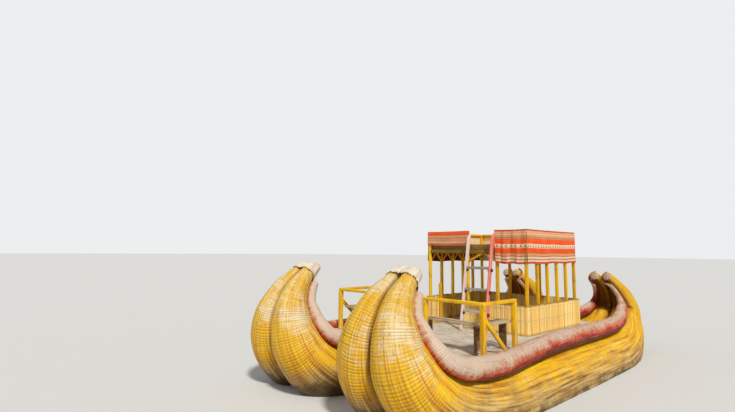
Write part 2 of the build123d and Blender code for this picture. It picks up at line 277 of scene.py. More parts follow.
class Paint:
    # One material under construction; base is its colour so far
    def __init__(self, name, roughness, specular=0.3):
        self.material = bpy.data.materials.new(name)
        self.material.use_nodes = True
        self.tree = self.material.node_tree
        self.shader = self.tree.nodes["Principled BSDF"]
        self.plug(roughness, self.shader.inputs["Roughness"])
        self.plug(specular, self.shader.inputs["Specular IOR Level"])

    def plug(self, value, target):
        if isinstance(value, Value):
            self.tree.links.new(value.socket, target)
        else:
            target.default_value = value

    def node(self, kind, out, inputs, **settings):
        made = self.tree.nodes.new("ShaderNode" + kind)
        for key, value in settings.items():
            setattr(made, key, value)
        for key, value in inputs.items():
            self.plug(value, made.inputs[key])
        return Value(self, made.outputs[out])

    def spot(self, kind, scale=(1, 1, 1)):
        return self.node("Mapping", "Vector", {"Vector": self.node("TexCoord", kind, {}), "Scale": scale})

    def uv(self, letter):
        return self.node("SeparateXYZ", letter, {"Vector": self.spot("UV")})

    def height(self):
        return self.node("SeparateXYZ", "Z", {"Vector": self.spot("Object")})

    def value(self, name):
        return self.node("Attribute", "Fac", {}, attribute_name=name)

    def noise(self, spot, scale, detail=3.0, roughness=0.55):
        return self.node("TexNoise", "Fac", {
            "Vector": spot, "Scale": scale, "Detail": detail, "Roughness": roughness})

    def cloud(self, scale, detail=3.0, roughness=0.55):
        # Noise in space, as large in every direction
        return self.noise(self.spot("Object"), scale, detail, roughness)

    def strands(self, scale, detail, roughness=0.7):
        # Noise in space, drawn out along some axes
        return self.noise(self.spot("Object", scale), 1, detail, roughness)

    def grain(self, along, around, detail=3.0, roughness=0.55):
        # Noise that follows the piece's own length and girth
        return self.noise(self.spot("UV", (along, around, 1)), 1, detail, roughness)

    def cells(self, x, y=0.0):
        spot = self.node("CombineXYZ", "Vector", {"X": x, "Y": y, "Z": 0.0})
        return self.node("TexWhiteNoise", "Value", {"Vector": spot}, noise_dimensions="3D")

    def coat(self, amount, colour):
        # Lays a colour over the base, as much of it as amount says
        colour = colour if isinstance(colour, Value) else rgba(colour)
        self.base = self.node("Mix", 2, {0: amount, 6: self.base, 7: colour}, data_type="RGBA")

    def finish(self, relief=None, distance=0.0, strength=1.0):
        self.plug(self.base, self.shader.inputs["Base Color"])
        if relief:
            bump = {"Height": relief, "Distance": distance, "Strength": strength}
            self.plug(self.node("Bump", "Normal", bump), self.shader.inputs["Normal"])
        return self.material


# Hulls: one table serves both, the middle of the bundles from bow tip to stern tip
# x and z, radius of a bundle, its distance from the hull's middle plane, radius and angle of the edge roll

hullRows = np.array([
    (3.660, 1.360, 0.118, 0.126, 0.066, 70),
    (3.990, 1.060, 0.195, 0.190, 0.088, 68),
    (4.190, 0.710, 0.285, 0.270, 0.106, 58),
    (4.200, 0.260, 0.410, 0.350, 0.124, 42),
    (3.950, -0.190, 0.510, 0.420, 0.144, 46),
    (3.380, -0.560, 0.575, 0.450, 0.165, 58),
    (2.300, -0.752, 0.622, 0.450, 0.178, 64),
    (0.600, -0.760, 0.640, 0.450, 0.180, 72),
    (-1.300, -0.760, 0.640, 0.450, 0.180, 73),
    (-2.900, -0.738, 0.610, 0.440, 0.178, 76),
    (-3.870, -0.520, 0.520, 0.400, 0.160, 82),
    (-4.440, -0.140, 0.400, 0.335, 0.130, 84),
    (-4.690, 0.280, 0.300, 0.285, 0.100, 84),
    (-4.440, 0.730, 0.205, 0.205, 0.070, 73),
    (-3.860, 1.080, 0.115, 0.155, 0.044, 76),
])
lastRow = len(hullRows) - 1
rowSteps = 10  # fine steps between two rows, where shades are worked out


def slopesAt(rows):
    # Slopes of a smooth curve through the rows, with natural ends
    inner = (rows[2:] - rows[:-2]) / 2
    first = (rows[1] - rows[0]) * 1.5 - inner[0] / 2
    last = (rows[-1] - rows[-2]) * 1.5 - inner[-1] / 2
    return np.vstack([first, inner, last])


hullSlopes = slopesAt(hullRows)


def hullAt(f):
    # Row f of the table and the direction of the hull there
    i = max(0, min(lastRow - 1, int(f)))
    t = f - i
    row = ((2 * t**3 - 3 * t**2 + 1) * hullRows[i] + (t**3 - 2 * t**2 + t) * hullSlopes[i]
           + (3 * t**2 - 2 * t**3) * hullRows[i + 1] + (t**3 - t**2) * hullSlopes[i + 1])
    run = ((6 * t**2 - 6 * t) * (hullRows[i] - hullRows[i + 1]) + (3 * t**2 - 4 * t + 1) * hullSlopes[i]
           + (3 * t**2 - 2 * t) * hullSlopes[i + 1])
    return row, run[:2] / np.hypot(*run[:2])


def inBundle(row, side, hullSide):
    # Middle of a bundle; side: 1 for the outer bundle of its hull, -1 for the inner one
    return onDeck(row[0], hullSide * (hullMid + side * row[3]), row[1])


def besideBundle(f, side, hullSide, angle, reach):
    # A point that far from a bundle's middle, straight outwards at angle 0 and on its upper side at 90
    (x, z, _, apart, _, _), (tx, tz) = hullAt(f)
    inward = reach * math.sin(math.radians(angle))
    sideways = side * (apart + reach * math.cos(math.radians(angle)))
    return onDeck(x + inward * tz, hullSide * (hullMid + sideways), z - inward * tx)


def newCurve(count):
    # A Bezier curve with that many points, still to be placed
    curve = addNew(bpy.ops.curve.primitive_bezier_curve_add, radius=1, location=(0, 0, 0))
    curve.data.splines[0].bezier_points.add(count - 2)
    return curve, curve.data.splines[0]


def smoothPath(points, radii):
    # A line through the points; the radius of each point widens what is bent along it
    path, line = newCurve(len(points))
    line.radius_interpolation = "CARDINAL"
    for spot, point, slope, radius in zip(line.bezier_points, points, slopesAt(np.array(points)), radii):
        spot.handle_left_type = spot.handle_right_type = "FREE"
        spot.co = point
        spot.handle_left = Vector(point) - Vector(slope) / 3
        spot.handle_right = Vector(point) + Vector(slope) / 3
        spot.radius = radius
    path.data.resolution_u = 24
    path.data.twist_mode = "MINIMUM"
    path.data.use_radius = True
    return path


# Shape of one turn of lashing: share of the gap, and how much of the bite is left there
lashingShape = ((0.0, 1.0), (0.25, 0.15), (0.75, 0.15))

# Lumps of a bundle as waves: speed along it, speed around it, shift by its thickness, and size
lumpWaves = ((3.1, 12.6, 40, 1), (7.7, -25.1, 0, 1), (17, 37.7, 0, 0.6))


def reedTube(points, radii, look):
    # A bundle tied in close rings: one ring is modelled, repeated, and bent along the path
    path = smoothPath(points, radii)
    length = path.data.splines[0].calc_length()
    count = round(length / look["ringGap"])
    gap, rows = length / count, len(lashingShape)
    tube = addMesh(bpy.ops.mesh.primitive_cylinder_add, (gap / 2, 0, 0), rotation=(0, math.pi / 2, 0),
                   vertices=look["sides"], radius=1, depth=gap, end_fill_type="NOTHING")
    divide(tube, 0, gap / 2, rows - 1)
    for vertex in tube.data.vertices:
        row = round(vertex.co.x / gap * rows)
        if row < rows:
            vertex.co.x = lashingShape[row][0] * gap
    repeat(tube, count, (gap, 0, 0), use_merge_vertices=True, merge_threshold=gap / 50)
    points = readPoints(tube)
    along, around = points[:, 0].copy(), np.arctan2(points[:, 2], points[:, 1]) / fullTurn % 1
    thick = np.interp(along, np.linspace(0, length, len(radii)), radii)
    shares, bites = zip(*lashingShape, (1.0, 1.0))
    bite = np.interp(along / gap % 1, shares, bites) * look["bite"]
    ring = np.floor(along / gap + 0.5 / rows).astype(int)
    loose = dice.uniform(0.6, 1.3, count + 2)[ring]
    wave = sum(size * np.sin(along * far + around * turn + radii[0] * shift)
               for far, turn, shift, size in lumpWaves) / sum(size for *_, size in lumpWaves)
    scale = 1 + (look["bite"] / 3 - bite * loose + look["lump"] * wave / 2) / thick
    points[:, 1:] *= scale[:, None]
    inside = (along > gap / 2) & (along < length - gap / 2)
    points[:, 0] += np.where(inside, 0.1 * gap * np.sin(around * 6.28 * 2 + ring * 0.7), 0)
    writePoints(tube, points)
    writeValue(tube, "along", along)
    writeUv(tube, along, around, turns=True)
    applyModifier(tube, "CURVE", object=path, deform_axis="POS_X")
    bpy.data.objects.remove(path)
    return tube


def closeTips(tube, dome):
    # Both cut ends: filled, drawn in by three steps, and left slightly domed
    before = len(tube.data.vertices)
    editAll(tube)
    bpy.ops.mesh.fill_holes(sides=0)
    setMode("OBJECT")
    editWhere(tube, "FACE", lambda face: len(face.vertices) > 8)
    for step in (1, 2, 3):
        bpy.ops.mesh.inset(thickness=0.03, depth=dome / step, use_individual=True, use_even_offset=False)
    bpy.ops.mesh.select_all(action="SELECT")
    bpy.ops.mesh.normals_make_consistent(inside=False)
    bpy.ops.mesh.select_mode(type="VERT")
    setMode("OBJECT")
    writeValue(tube, "cut", np.arange(len(tube.data.vertices)) >= before)


def spineOf(side, hullSide):
    # Middle line of a bundle in fine steps, and the way to the horn's hollow at each
    steps = [hullAt(f) for f in np.arange(0, lastRow + 0.01, 1 / rowSteps)]
    return (np.array([inBundle(row, side, hullSide) for row, _ in steps]),
            np.array([(run[1], 0, -run[0]) for _, run in steps]))


shadeLook = {
    # painted shade in the stern horn's hollow: how far a point has to face it, how sharply, and from which
    # row of the table
    "facing": 0.55, "sharp": 4, "hornRow": 11.2, "hornRows": 0.8,
    # the forefoot and the painted shade in the seam between two bundles, which is wider there
    "forefootRow": 4.7, "forefootRows": 1.1, "seamFull": 1.2, "seamWide": 0.05, "forefootWide": 0.07,
    # where the sun bleaches the reeds and the painted highlight falls on the side facing the key sun: which
    # way it faces, how high over the deck it is, and up to which row
    "sun": (0.35, 0.75, 0.55), "anyway": 0.25, "least": 0.1, "highFrom": -0.3, "highOver": 0.8, "lastRow": 9,
}


def markShade(tube, side, hullSide):
    # Painted shade: browner in the hollow of the stern horn and in the seam between two bundles, where shade
    # falls
    look = shadeLook
    points = readPoints(tube)
    spine, hollowWay = spineOf(side, hullSide)
    nearest = np.argmin(((points[:, None, ::2] - spine[None, :, ::2]) ** 2).sum(2), 1)
    out = unit(points - spine[nearest])
    row = nearest / rowSteps
    facing = (out * hollowWay[nearest]).sum(1)
    hollow = np.clip((facing - look["facing"]) * look["sharp"], 0, 1)
    hollow *= np.clip((row - look["hornRow"]) / look["hornRows"], 0, 1)
    forefoot = np.exp(-((row - look["forefootRow"]) / look["forefootRows"]) ** 2)
    seamWide = look["seamWide"] + look["forefootWide"] * forefoot
    seam = np.clip(look["seamFull"] - np.abs(points[:, 1] - hullSide * hullMid) / seamWide, 0, 1)
    writeValue(tube, "shade", np.maximum(hollow, seam))
    writeValue(tube, "forefoot", forefoot)
    # Paler crown: partly sun bleaching, partly painted highlight on the side that faces the key sun
    bleachedAndLit = np.clip(look["anyway"] + out @ np.array(look["sun"]), look["least"], 1)
    high = np.clip((points[:, 2] - deckTop - look["highFrom"]) / look["highOver"], 0, 1)
    writeValue(tube, "bleachAndLight", high * np.clip(look["lastRow"] - row, 0, 1) * bleachedAndLit)


bundleLook = {"sides": 48, "ringGap": 0.036, "bite": 0.006, "lump": 0.007, "dome": 0.020, "reeds": 170}


def makeBundle(name, side, hullSide, node):
    points = [inBundle(row, side, hullSide) for row in hullRows]
    tube = reedTube(points, list(hullRows[:, 2]), bundleLook)
    markShade(tube, side, hullSide)
    closeTips(tube, bundleLook["dome"])
    # The two bundles of a hull are pressed flat against each other on its middle plane
    editAll(tube)
    bpy.ops.mesh.bisect(plane_co=(0, hullSide * hullMid, 0), plane_no=(0, side * hullSide, 0),
                        use_fill=True, clear_inner=True, threshold=1e-5)
    setMode("OBJECT")
    keepInside(tube)
    smooth(tube, 60)
    handOver(joinPieces(name, [tube]), hullReed, node)


rollLook = {
    "sides": 24, "ringGap": 0.027, "bite": 0.004, "lump": 0.005, "dome": 0.015, "seat": 0.0003,
    "step": 0.12, "outer": (0.42, 13.8), "inner_bow": (0.42, 5.35), "inner_stern": (9.3, 13.8),
}

# Rolls are paler where they climb to the bow and the stern and redder amidships: row of the table, how much
redderRows = ((0, -1.7), (2, -1.4), (3, -0.9), (4, -0.2), (5, 0.2), (6.5, 0.6), (9, 0.72), (12, 0.4),
              (13.5, -0.1))
# Painted shade: the inner roll of the stern is darker maroon where it lies in shade
innerSternShadeRows = ((11, 0), (12.3, 1.4), (13.2, 1.2), (13.6, 0))  # what the inner roll of the stern adds


def rollCentre(f, side, hullSide=1):
    row = hullAt(f)[0]
    return besideBundle(f, side, hullSide, row[5], row[2] + row[4] + rollLook["seat"]), row[4]


def finishRoll(tube, side, hullSide, dome):
    closeTips(tube, dome)
    smooth(tube, 60)
    markUnder(tube, side, hullSide)
    return tube


def makeRoll(name, side, hullSide, stretch, node):
    start, end = stretch
    halves = [k / 2 for k in range(2 * len(hullRows)) if start + 0.2 < k / 2 < end - 0.2]
    points, radii = [], []
    for f in [start] + halves + [end]:
        centre, radius = rollCentre(f, side, hullSide)
        if not points or (centre - points[-1]).length > rollLook["step"]:
            points.append(centre)
            radii.append(radius)
    tube = finishRoll(reedTube(points, radii, rollLook), side, hullSide, rollLook["dome"])
    handOver(joinPieces(name, [tube]), rollReed, node)


def markUnder(tube, side, hullSide):
    # How far each point faces the bundle that the roll lies on: 1 where they touch, -1 on the far side
    points = readPoints(tube)
    spine, _ = spineOf(side, hullSide)
    along = np.zeros(len(points))
    tube.data.attributes["along"].data.foreach_get("value", along)
    _, ring = np.unique(np.round(along * 2000).astype(int), return_inverse=True)
    middle = np.stack([np.bincount(ring, points[:, k]) for k in range(3)], 1) / np.bincount(ring)[:, None]
    nearest = np.argmin(((middle[:, None] - spine[None]) ** 2).sum(2), 1)
    down = unit(spine[nearest] - middle)
    writeValue(tube, "under", (unit(points - middle[ring]) * down[ring]).sum(1))
    row = nearest / rowSteps
    redder = np.interp(row, *zip(*redderRows))
    # painted shade on the inner stern roll
    redder += np.interp(row, *zip(*innerSternShadeRows)) * (side < 0)
    writeValue(tube, "redder", redder[ring])


def cutEnds(paint):
    # Where the reeds are cut across: pale dots with dark gaps
    ends = paint.cloud(70, 2, 0.8).ramp(
        (0.35, (92, 62, 40)), (0.5, (190, 160, 128)), (0.62, (226, 206, 182)))
    paint.coat(paint.value("cut").span(0.4, 0.6), ends)


def bundlePaint(name, look):
    paint = Paint(name, 0.45)
    turn = (paint.uv("X") + paint.grain(0.7, 9).swing(look["ringGap"] * 1.1)) / look["ringGap"]
    tie = turn.fromMiddle()
    tieLine = tie.span(0.43, 0.5) * paint.grain(5, 7).span(0.35, 0.62, 0.25, 1)
    besideTie = tie.span(0.26, 0.42) * tie.span(0.5, 0.43)
    reed = paint.uv("Y") * look["reeds"] + paint.grain(0.9, 14, 2) * 3
    reedLine = reed.fromMiddle().span(0.36, 0.5)
    streak = paint.grain(0.8, 70, 5, 0.7)
    ringWear = paint.grain(24, 7, 3, 0.6)
    # Pale crown and pale reeds beside the ties: partly sun bleaching, partly painted highlight
    high = paint.value("bleachAndLight")
    paint.base = streak.ramp((0.36, (176, 112, 0)), (0.46, (226, 164, 0)), (0.56, (244, 194, 0)),
                             (0.72, (252, 222, 60)))
    paint.coat(besideTie * high.span(0, 1, 0.08, 0.5), (250, 230, 160))
    # worn: wear from noise, plus the crown's bleaching and painted highlight
    worn = (paint.cloud(1.1, 5, 0.65) + high.span(0, 1, -0.18, 0.07) + ringWear.swing(0.5)
            + streak.swing(0.35))
    paint.coat(worn.span(0.46, 0.66, 0, 0.9), (242, 226, 186))
    grey = paint.cells(turn.floor(), (reed * 0.34).floor()).span(0.86, 0.92)
    paint.coat(grey * ringWear.span(0.45, 0.6, 0, 0.5), (176, 146, 106))
    paint.coat(reedLine * 0.28, (164, 104, 8))
    paint.coat(tieLine * 0.85, (96, 56, 12))
    # Soaked and darker towards the waterline, most of all at the forefoot
    soak = paint.height() + paint.cloud(3, 6, 0.65).swing(0.7) - paint.value("forefoot") * 0.20
    soaked = streak.ramp((0.36, (78, 60, 38)), (0.47, (146, 116, 74)), (0.6, (204, 178, 132)))
    paint.coat(soak.span(waterline + 0.52, waterline + 0.20) * 0.75, soaked)
    paint.coat(soak.span(waterline + 0.16, waterline - 0.02, 0, 0.8), (58, 44, 28))
    # painted shade in the stern horn's hollow and in the seam between the bundles
    paint.coat(paint.value("shade") * 0.88, (104, 54, 8))
    cutEnds(paint)
    return paint.finish(streak * 0.5 - reedLine * 0.6 - tieLine * 0.8, 0.006, 0.7)


def rollPaint(name, gap):
    paint = Paint(name, 0.6)
    tieLine = (paint.uv("X") / gap).fromMiddle().span(0.38, 0.5)
    streak = paint.grain(1.2, 40, 5, 0.7)
    # Red underneath, faded to pale pink on top, with ragged edges between; the deepest red where the roll
    # lies on the bundle is painted shade
    fade = (paint.value("under") * 1.4 + paint.grain(17, 17, 5, 0.75).swing(1.6)
            + paint.cloud(1.5, 4, 0.6).swing(1.3) + paint.grain(3, 7, 6, 0.75).swing(2.1)
            + paint.grain(30, 5, 2).swing(1.5) + paint.value("redder"))
    paint.base = fade.span(-1, 1).ramp(
        (0.04, (214, 190, 168)), (0.24, (200, 162, 136)), (0.38, (196, 118, 84)), (0.50, (200, 80, 36)),
        (0.64, (174, 34, 6)), (0.88, (100, 14, 4)))
    paint.coat(streak.span(0.5, 0.8, 0, 0.5), (228, 204, 184))
    paint.coat(streak.span(0.42, 0.3, 0, 0.5), (128, 52, 32))
    paint.coat(tieLine * 0.5, (104, 52, 38))
    cutEnds(paint)
    return paint.finish(streak - tieLine * 0.5, 0.004, 0.6)


def brokenPaint(name, *tones):
    paint = Paint(name, 0.8, 0.2)
    paint.base = paint.cloud(7, 4, 0.7).ramp(*zip((0.35, 0.5, 0.62), tones))
    return paint.finish()


def reedSliver(spot, way, long, thick):
    # A broken reed that starts at spot and points along way
    return addMesh(bpy.ops.mesh.primitive_cone_add, spot + way * long / 2,
                   rotation=way.to_track_quat("Z", "Y").to_euler(), vertices=5, radius1=thick,
                   radius2=thick / 3, depth=long)


frayLook = {
    "count": 90, "rows": (3.7, 5.9), "long": (0.05, 0.16), "thick": 0.004, "lift": (0.05, 0.22),
    "turn": (-1.2, 1.2), "sway": (-0.2, 0.2), "root": 0.002, "dry": 0.02,
}


def makeFrays(name, hullSide):
    # Broken reeds that stand off the forefoot, where the hull runs aground
    look = frayLook
    slivers = []
    for _ in range(look["count"]):
        row, (tx, tz) = hullAt(dice.uniform(*look["rows"]))
        side = dice.choice((-1, 1))
        angle = dice.uniform(*look["turn"])
        away = Vector((-tz * math.cos(angle), hullSide * side * math.sin(angle), tx * math.cos(angle)))
        spot = inBundle(row, side, hullSide) + away * (row[2] - look["root"])
        way = Vector((tx, 0, tz)) * dice.choice((-1, 1)) + away * dice.uniform(*look["lift"])
        way.y += dice.uniform(*look["sway"])
        if spot.z > waterline + look["dry"]:
            slivers.append(reedSliver(spot, way.normalized(), dice.uniform(*look["long"]), look["thick"]))
    frays = joinPieces(name, slivers)
    keepInside(frays)
    handOver(frays, frayedReed)


frayedReed = brokenPaint("frayedReed", (70, 52, 32), (150, 118, 70), (214, 186, 130))
hullReed = bundlePaint("yellowReed", bundleLook)
rollReed = rollPaint("redReed", rollLook["ringGap"])
for hullName, hullSide in hulls:
    for word, side in (("outer", 1), ("inner", -1)):
        makeBundle(f"{hullName}{word.title()}Bundle", side, hullSide, f"bundle_{hullName}_{word}")
    for word, side in (("outer", 1), ("inner_bow", -1), ("inner_stern", -1)):
        makeRoll(f"{hullName}{word.title().replace('_', '')}Roll", side, hullSide, rollLook[word],
                 f"roll_{hullName}_{word}")
    makeFrays(f"{hullName}FrayedReeds", hullSide)
    print(hullName, "hull made")


# Timbers: any straight piece of wood, with worn corners and its grain along it

timberStep = 0.16  # metres between two rows of points


def timber(x, y, z, wide, deep, upright=(0, 0, 1), corner=0.005):
    # x, y and z are one number each, or a pair where the timber runs from one to the other
    start, end = (Vector([c[k] if isinstance(c, tuple) else c for c in (x, y, z)]) for k in (0, 1))
    length = (end - start).length
    piece = addMesh(bpy.ops.mesh.primitive_cube_add, size=1, scale=(length, wide, deep))
    editAll(piece)
    bpy.ops.mesh.bevel(offset=corner, segments=2, affect="EDGES")
    setMode("OBJECT")
    divide(piece, 0, length / 2, max(1, round(length / timberStep)))
    points = readPoints(piece)
    seed = random.uniform(0, 40)
    across, height = points[:, 1] / wide, points[:, 2] / deep
    onSide = np.abs(across) >= np.abs(height)
    side = np.where(onSide, np.where(across > 0, 0, 2), np.where(height > 0, 1, 3))
    share = np.choose(side, [height + 0.5, 0.5 - across, 0.5 - height, across + 0.5])
    u, v = points[:, 0] + seed, np.clip((side + share) / 4, 0, 0.9999)
    sway = min(0.0018, corner * 0.4)
    for axis, speed in ((1, 4.1), (2, 5.3)):
        worn = 1 + np.sin(points[:, 0] * speed + seed * axis + side)
        points[:, axis] *= 1 - sway / min(wide, deep) * worn
    writePoints(piece, points)
    writeUv(piece, u, v, turns=True)
    writeValue(piece, "tone", random.random())
    along = (end - start) / length
    sideways = along.cross(Vector(upright)).normalized()
    up = sideways.cross(along)
    place = Matrix((along, up.cross(along), up)).transposed().to_4x4()
    place.translation = onDeck(*((start + end) / 2))
    piece.data.transform(place)
    return piece


def post(x, y, low, high, wide, corner=0.006):
    return timber(x, y, (low, high), wide, wide, (1, 0, 0), corner)


def planks(x, y, level, across, look):
    # A seat of planks side by side, which run along whichever of x and y is a pair
    made = []
    wide = across / look["planks"] - look["slit"]
    for k in range(look["planks"]):
        off = across * ((k + 0.5) / look["planks"] - 0.5)
        spot = (x + off, y) if isinstance(y, tuple) else (x, y - off)
        made.append(timber(*spot, level, wide, look["thick"], corner=look["corner"]))
    return made


def finishTimbers(name, parts, material, node):
    piece = joinPieces(name, parts)
    smooth(piece, 35)
    handOver(piece, material, node)


def woodPaint(name, tones, worn, wornShare, dark, rough=0.85, footWear=0.0):
    # tones: colours along the grain; worn: what shows where paint or skin is gone, most on corners and feet
    paint = Paint(name, rough)
    grain, fine, blotch = paint.grain(2.2, 26, 6, 0.7), paint.grain(7, 90, 4, 0.7), paint.cloud(5, 5, 0.6)
    shade = grain * 0.75 + paint.value("tone") * 0.25
    paint.base = shade.ramp(*((0.3 + 0.13 * k, colour) for k, colour in enumerate(tones)))
    corner = (paint.uv("Y") * 4).fromMiddle()
    foot = paint.height().span(deckTop + 0.5, deckTop, 0, footWear)
    chipped = corner * 0.55 + fine * 0.8 + blotch * 0.5 + foot
    paint.coat(chipped.span(1.02 - wornShare, 1.12 - wornShare) * 0.9, worn)
    paint.coat((blotch + fine * 0.35).span(0.72, 0.9) * 0.6, dark)
    return paint.finish(grain + fine * 0.6, 0.002, 0.6)


cabinLook = {
    "half": 1.280, "length": 2.260, "post": postWide, "sidePosts": 6, "frontPosts": (0.600, -0.162),
    "aftPosts": (0.416, -0.416), "stub": (-0.970, 0.930), "plateLow": 1.650, "plateTop": 1.740,
    "joistTop": 1.830, "joistWide": 0.060, "joists": 6, "railLow": 2.135, "top": 2.180, "bar": 0.045,
    "floorTop": 1.870, "boards": 11, "boardGap": 0.006, "boardFront": 0.010, "boardAft": 0.005,
    "boardUneven": 0.003, "boardCorner": 0.003, "play": 0.002,
    "knee": 0.045, "kneeRun": 0.170, "kneeEnd": 0.4,
}
sideKnees = [(0, -1), (1, 1), (1, -1), (2, 1), (2, -1), (3, 1), (3, -1), (4, 1), (4, -1), (5, 1)]
frontKnees = [(0, -1, 0.260, 0.150), (1, 1, 0.330, 0.170)]


def makeCabinFrame():
    look = cabinLook
    half, wide, bar, length, play = (look[key] for key in ("half", "post", "bar", "length", "play"))
    low, top, railLow, joistTop, floorTop = (
        look[key] for key in ("plateLow", "plateTop", "railLow", "joistTop", "floorTop"))
    edge = wide / 2
    left, right = look["frontPosts"]
    spots = [-length * k / (look["sidePosts"] - 1) for k in range(look["sidePosts"])]
    heads = [railLow if x in (spots[0], spots[-1]) else low for x in spots]
    for hullName, side in hulls:
        posts = [post(x, side * half, 0, head, wide) for x, head in zip(spots, heads)]
        finishTimbers(f"{hullName}CabinPosts", posts, yellowWood, f"posts_{hullName}")
    ends = [post(0, y, 0, railLow, wide) for y in (left, right)]
    ends += [post(-length, y, 0, low, wide) for y in look["aftPosts"]]
    ends.append(post(0, look["stub"][0], 0, look["stub"][1], wide))
    finishTimbers("endPosts", ends, yellowWood, "posts_ends")
    middle, tall = (low + top) / 2, top - low
    plates = [timber((-length + edge, -edge), side * half, middle, wide, tall) for side in (1, -1)]
    plates.append(timber(-length, (-half + edge, half - edge), middle, wide, tall))
    stops = [half, left, right, -half]
    plates += [timber(0, (b + edge, a - edge), middle, wide, tall) for a, b in zip(stops, stops[1:])]
    finishTimbers("floorPlates", plates, paintedShadeWood, "floor_plates")
    inset = edge + look["joistWide"] / 2 + play
    xs = [-length * k / (look["joists"] - 1) for k in range(look["joists"])]
    joists = [timber(max(-length + inset, min(-inset, x)), (-half - edge, half + edge),
                     (top + joistTop) / 2, look["joistWide"], joistTop - top) for x in xs]
    finishTimbers("floorJoists", joists, paintedShadeWood, "floor_joists")
    boards = []
    aft = -length + bar / 2 + look["boardAft"]
    run = (-edge - play - aft) / look["boards"]
    for k in range(look["boards"]):
        thick = floorTop - joistTop - random.uniform(0, look["boardUneven"])
        boards.append(timber(aft + run * (k + 0.5), (-half + edge + play, half - edge - play),
                             (joistTop + floorTop) / 2, run - look["boardGap"], thick,
                             corner=look["boardCorner"]))
    finishTimbers("upperFloorBoards", boards, roughBoard, "upper_floor")
    front = timber((look["boardFront"] - edge) / 2, (right + edge, left - edge), (top + floorTop) / 2,
                   look["boardFront"] + edge, floorTop - top)
    finishTimbers("floorFrontBoard", [front], paintedShadeWood, "floor_front_board")
    level = (railLow + look["top"]) / 2
    rails = [timber((-length - edge, edge), side * half, level, bar, bar) for side in (1, -1)]
    for x, run in ((0, (half - bar / 2, left - edge)), (0, (right + edge, -half + bar / 2)),
                   (-length, (-half + bar / 2, half - bar / 2))):
        rails.append(timber(x, run, level, bar, bar))
    finishTimbers("clothRails", rails, yellowWood, "top_rails")
    inside, knee, run = edge * look["kneeEnd"], look["knee"], look["kneeRun"]
    knees = []
    for side in (1, -1):
        for k, way in sideKnees:
            knees.append(timber((spots[k] + way * (edge - inside), spots[k] + way * (edge + run + inside)),
                                side * half, (low - run - inside, low + inside), knee, knee, (0, 1, 0)))
    for k, way, run, fall in frontKnees:
        y, lift = look["frontPosts"][k], inside * fall / run
        knees.append(timber(0, (y + way * (edge - inside), y + way * (edge + run + inside)),
                            (low - fall - lift, low + lift), knee, knee, (1, 0, 0)))
    finishTimbers("kneeBraces", knees, yellowWood, "knee_braces")


railPost = 0.080
railLook = {
    "x": 2.420, "half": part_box("railing_posts")[1].y - railPost / 2, "top": 0.880, "bar": (0.070, 0.060),
    "side": 0.970, "posts": (1, 1 / 3, -1 / 3, -1), "corner": 0.008,
    "brace": (0.045, 0.070), "braceTop": 0.640, "braceRun": 0.740, "braceDrop": 0.670, "braceHead": 0.015,
    "braceFoot": 0.012,
}


def makeRailing():
    look = railLook
    x, half, bar, corner = (look[key] for key in ("x", "half", "bar", "corner"))
    low, aft = look["top"] - bar[1], x - look["side"]
    spots = [(x, share * half) for share in look["posts"]] + [(aft, half), (aft, -half)]
    posts = [post(*spot, 0, low, railPost, corner) for spot in spots]
    finishTimbers("railingPosts", posts, yellowWood, "railing_posts")
    level, reach = low + bar[1] / 2, half + bar[0] / 2
    bars = [timber(x, (-reach, reach), level, *bar, corner=corner)]
    bars += [timber((aft - railPost / 2, x - bar[0] / 2), side * half, level, *bar, corner=corner)
             for side in (1, -1)]
    finishTimbers("railingBars", bars, yellowWood, "railing_bars")
    slope = look["braceDrop"] / look["braceRun"]
    head = x - railPost / 2 + look["braceHead"]
    foot = x - (look["braceTop"] + look["braceFoot"]) / slope
    braces = [timber((head, foot), side * half, (look["braceTop"] - (x - head) * slope, -look["braceFoot"]),
                     *look["brace"]) for side in (1, -1)]
    finishTimbers("railingBraces", braces, yellowWood, "railing_braces")


benchLook = {
    "top": 0.500, "thick": 0.032, "depth": 0.270, "gap": 0.015, "play": 0.004, "planks": 2, "slit": 0.006,
    "corner": 0.004, "leg": 0.035, "legWide": 0.140, "legIn": 0.060, "legs": (0.86, 0.3, -0.3, -0.86),
}


def makeBenches():
    look = benchLook
    depth, leg, reach = look["depth"], look["leg"], look["legWide"] / 2
    clear = railPost / 2 + look["gap"]
    fore, out = railLook["x"] - clear, railLook["half"] - clear
    aft, end, low = fore - depth, railLook["x"] - railLook["side"], look["top"] - look["thick"]
    middle, level = (fore + aft) / 2, look["top"] - look["thick"] / 2
    seat = planks(middle, (-out, out), level, depth, look)
    finishTimbers("frontBench", seat, greyBoard, "bench_front")
    seats, legs = [], []
    for side in (1, -1):
        y = side * (out - depth / 2)
        seats += planks((end, aft - look["play"]), y, level, depth, look)
        legs.append(timber(end + look["legIn"] + leg / 2, (y - reach, y + reach), low / 2, leg, low))
    legs += [timber((middle - reach, middle + reach), share * railLook["half"], low / 2, leg, low)
             for share in look["legs"]]
    finishTimbers("sideBenches", seats, greyBoard, "bench_sides")
    finishTimbers("benchLegs", legs, darkBoard, "bench_legs")


yellowWood = woodPaint("wornYellowPaint", [(198, 138, 4), (236, 180, 8), (248, 196, 14), (254, 216, 60)],
                       (244, 230, 190), 0.06, (128, 88, 16), 0.7, 0.16)
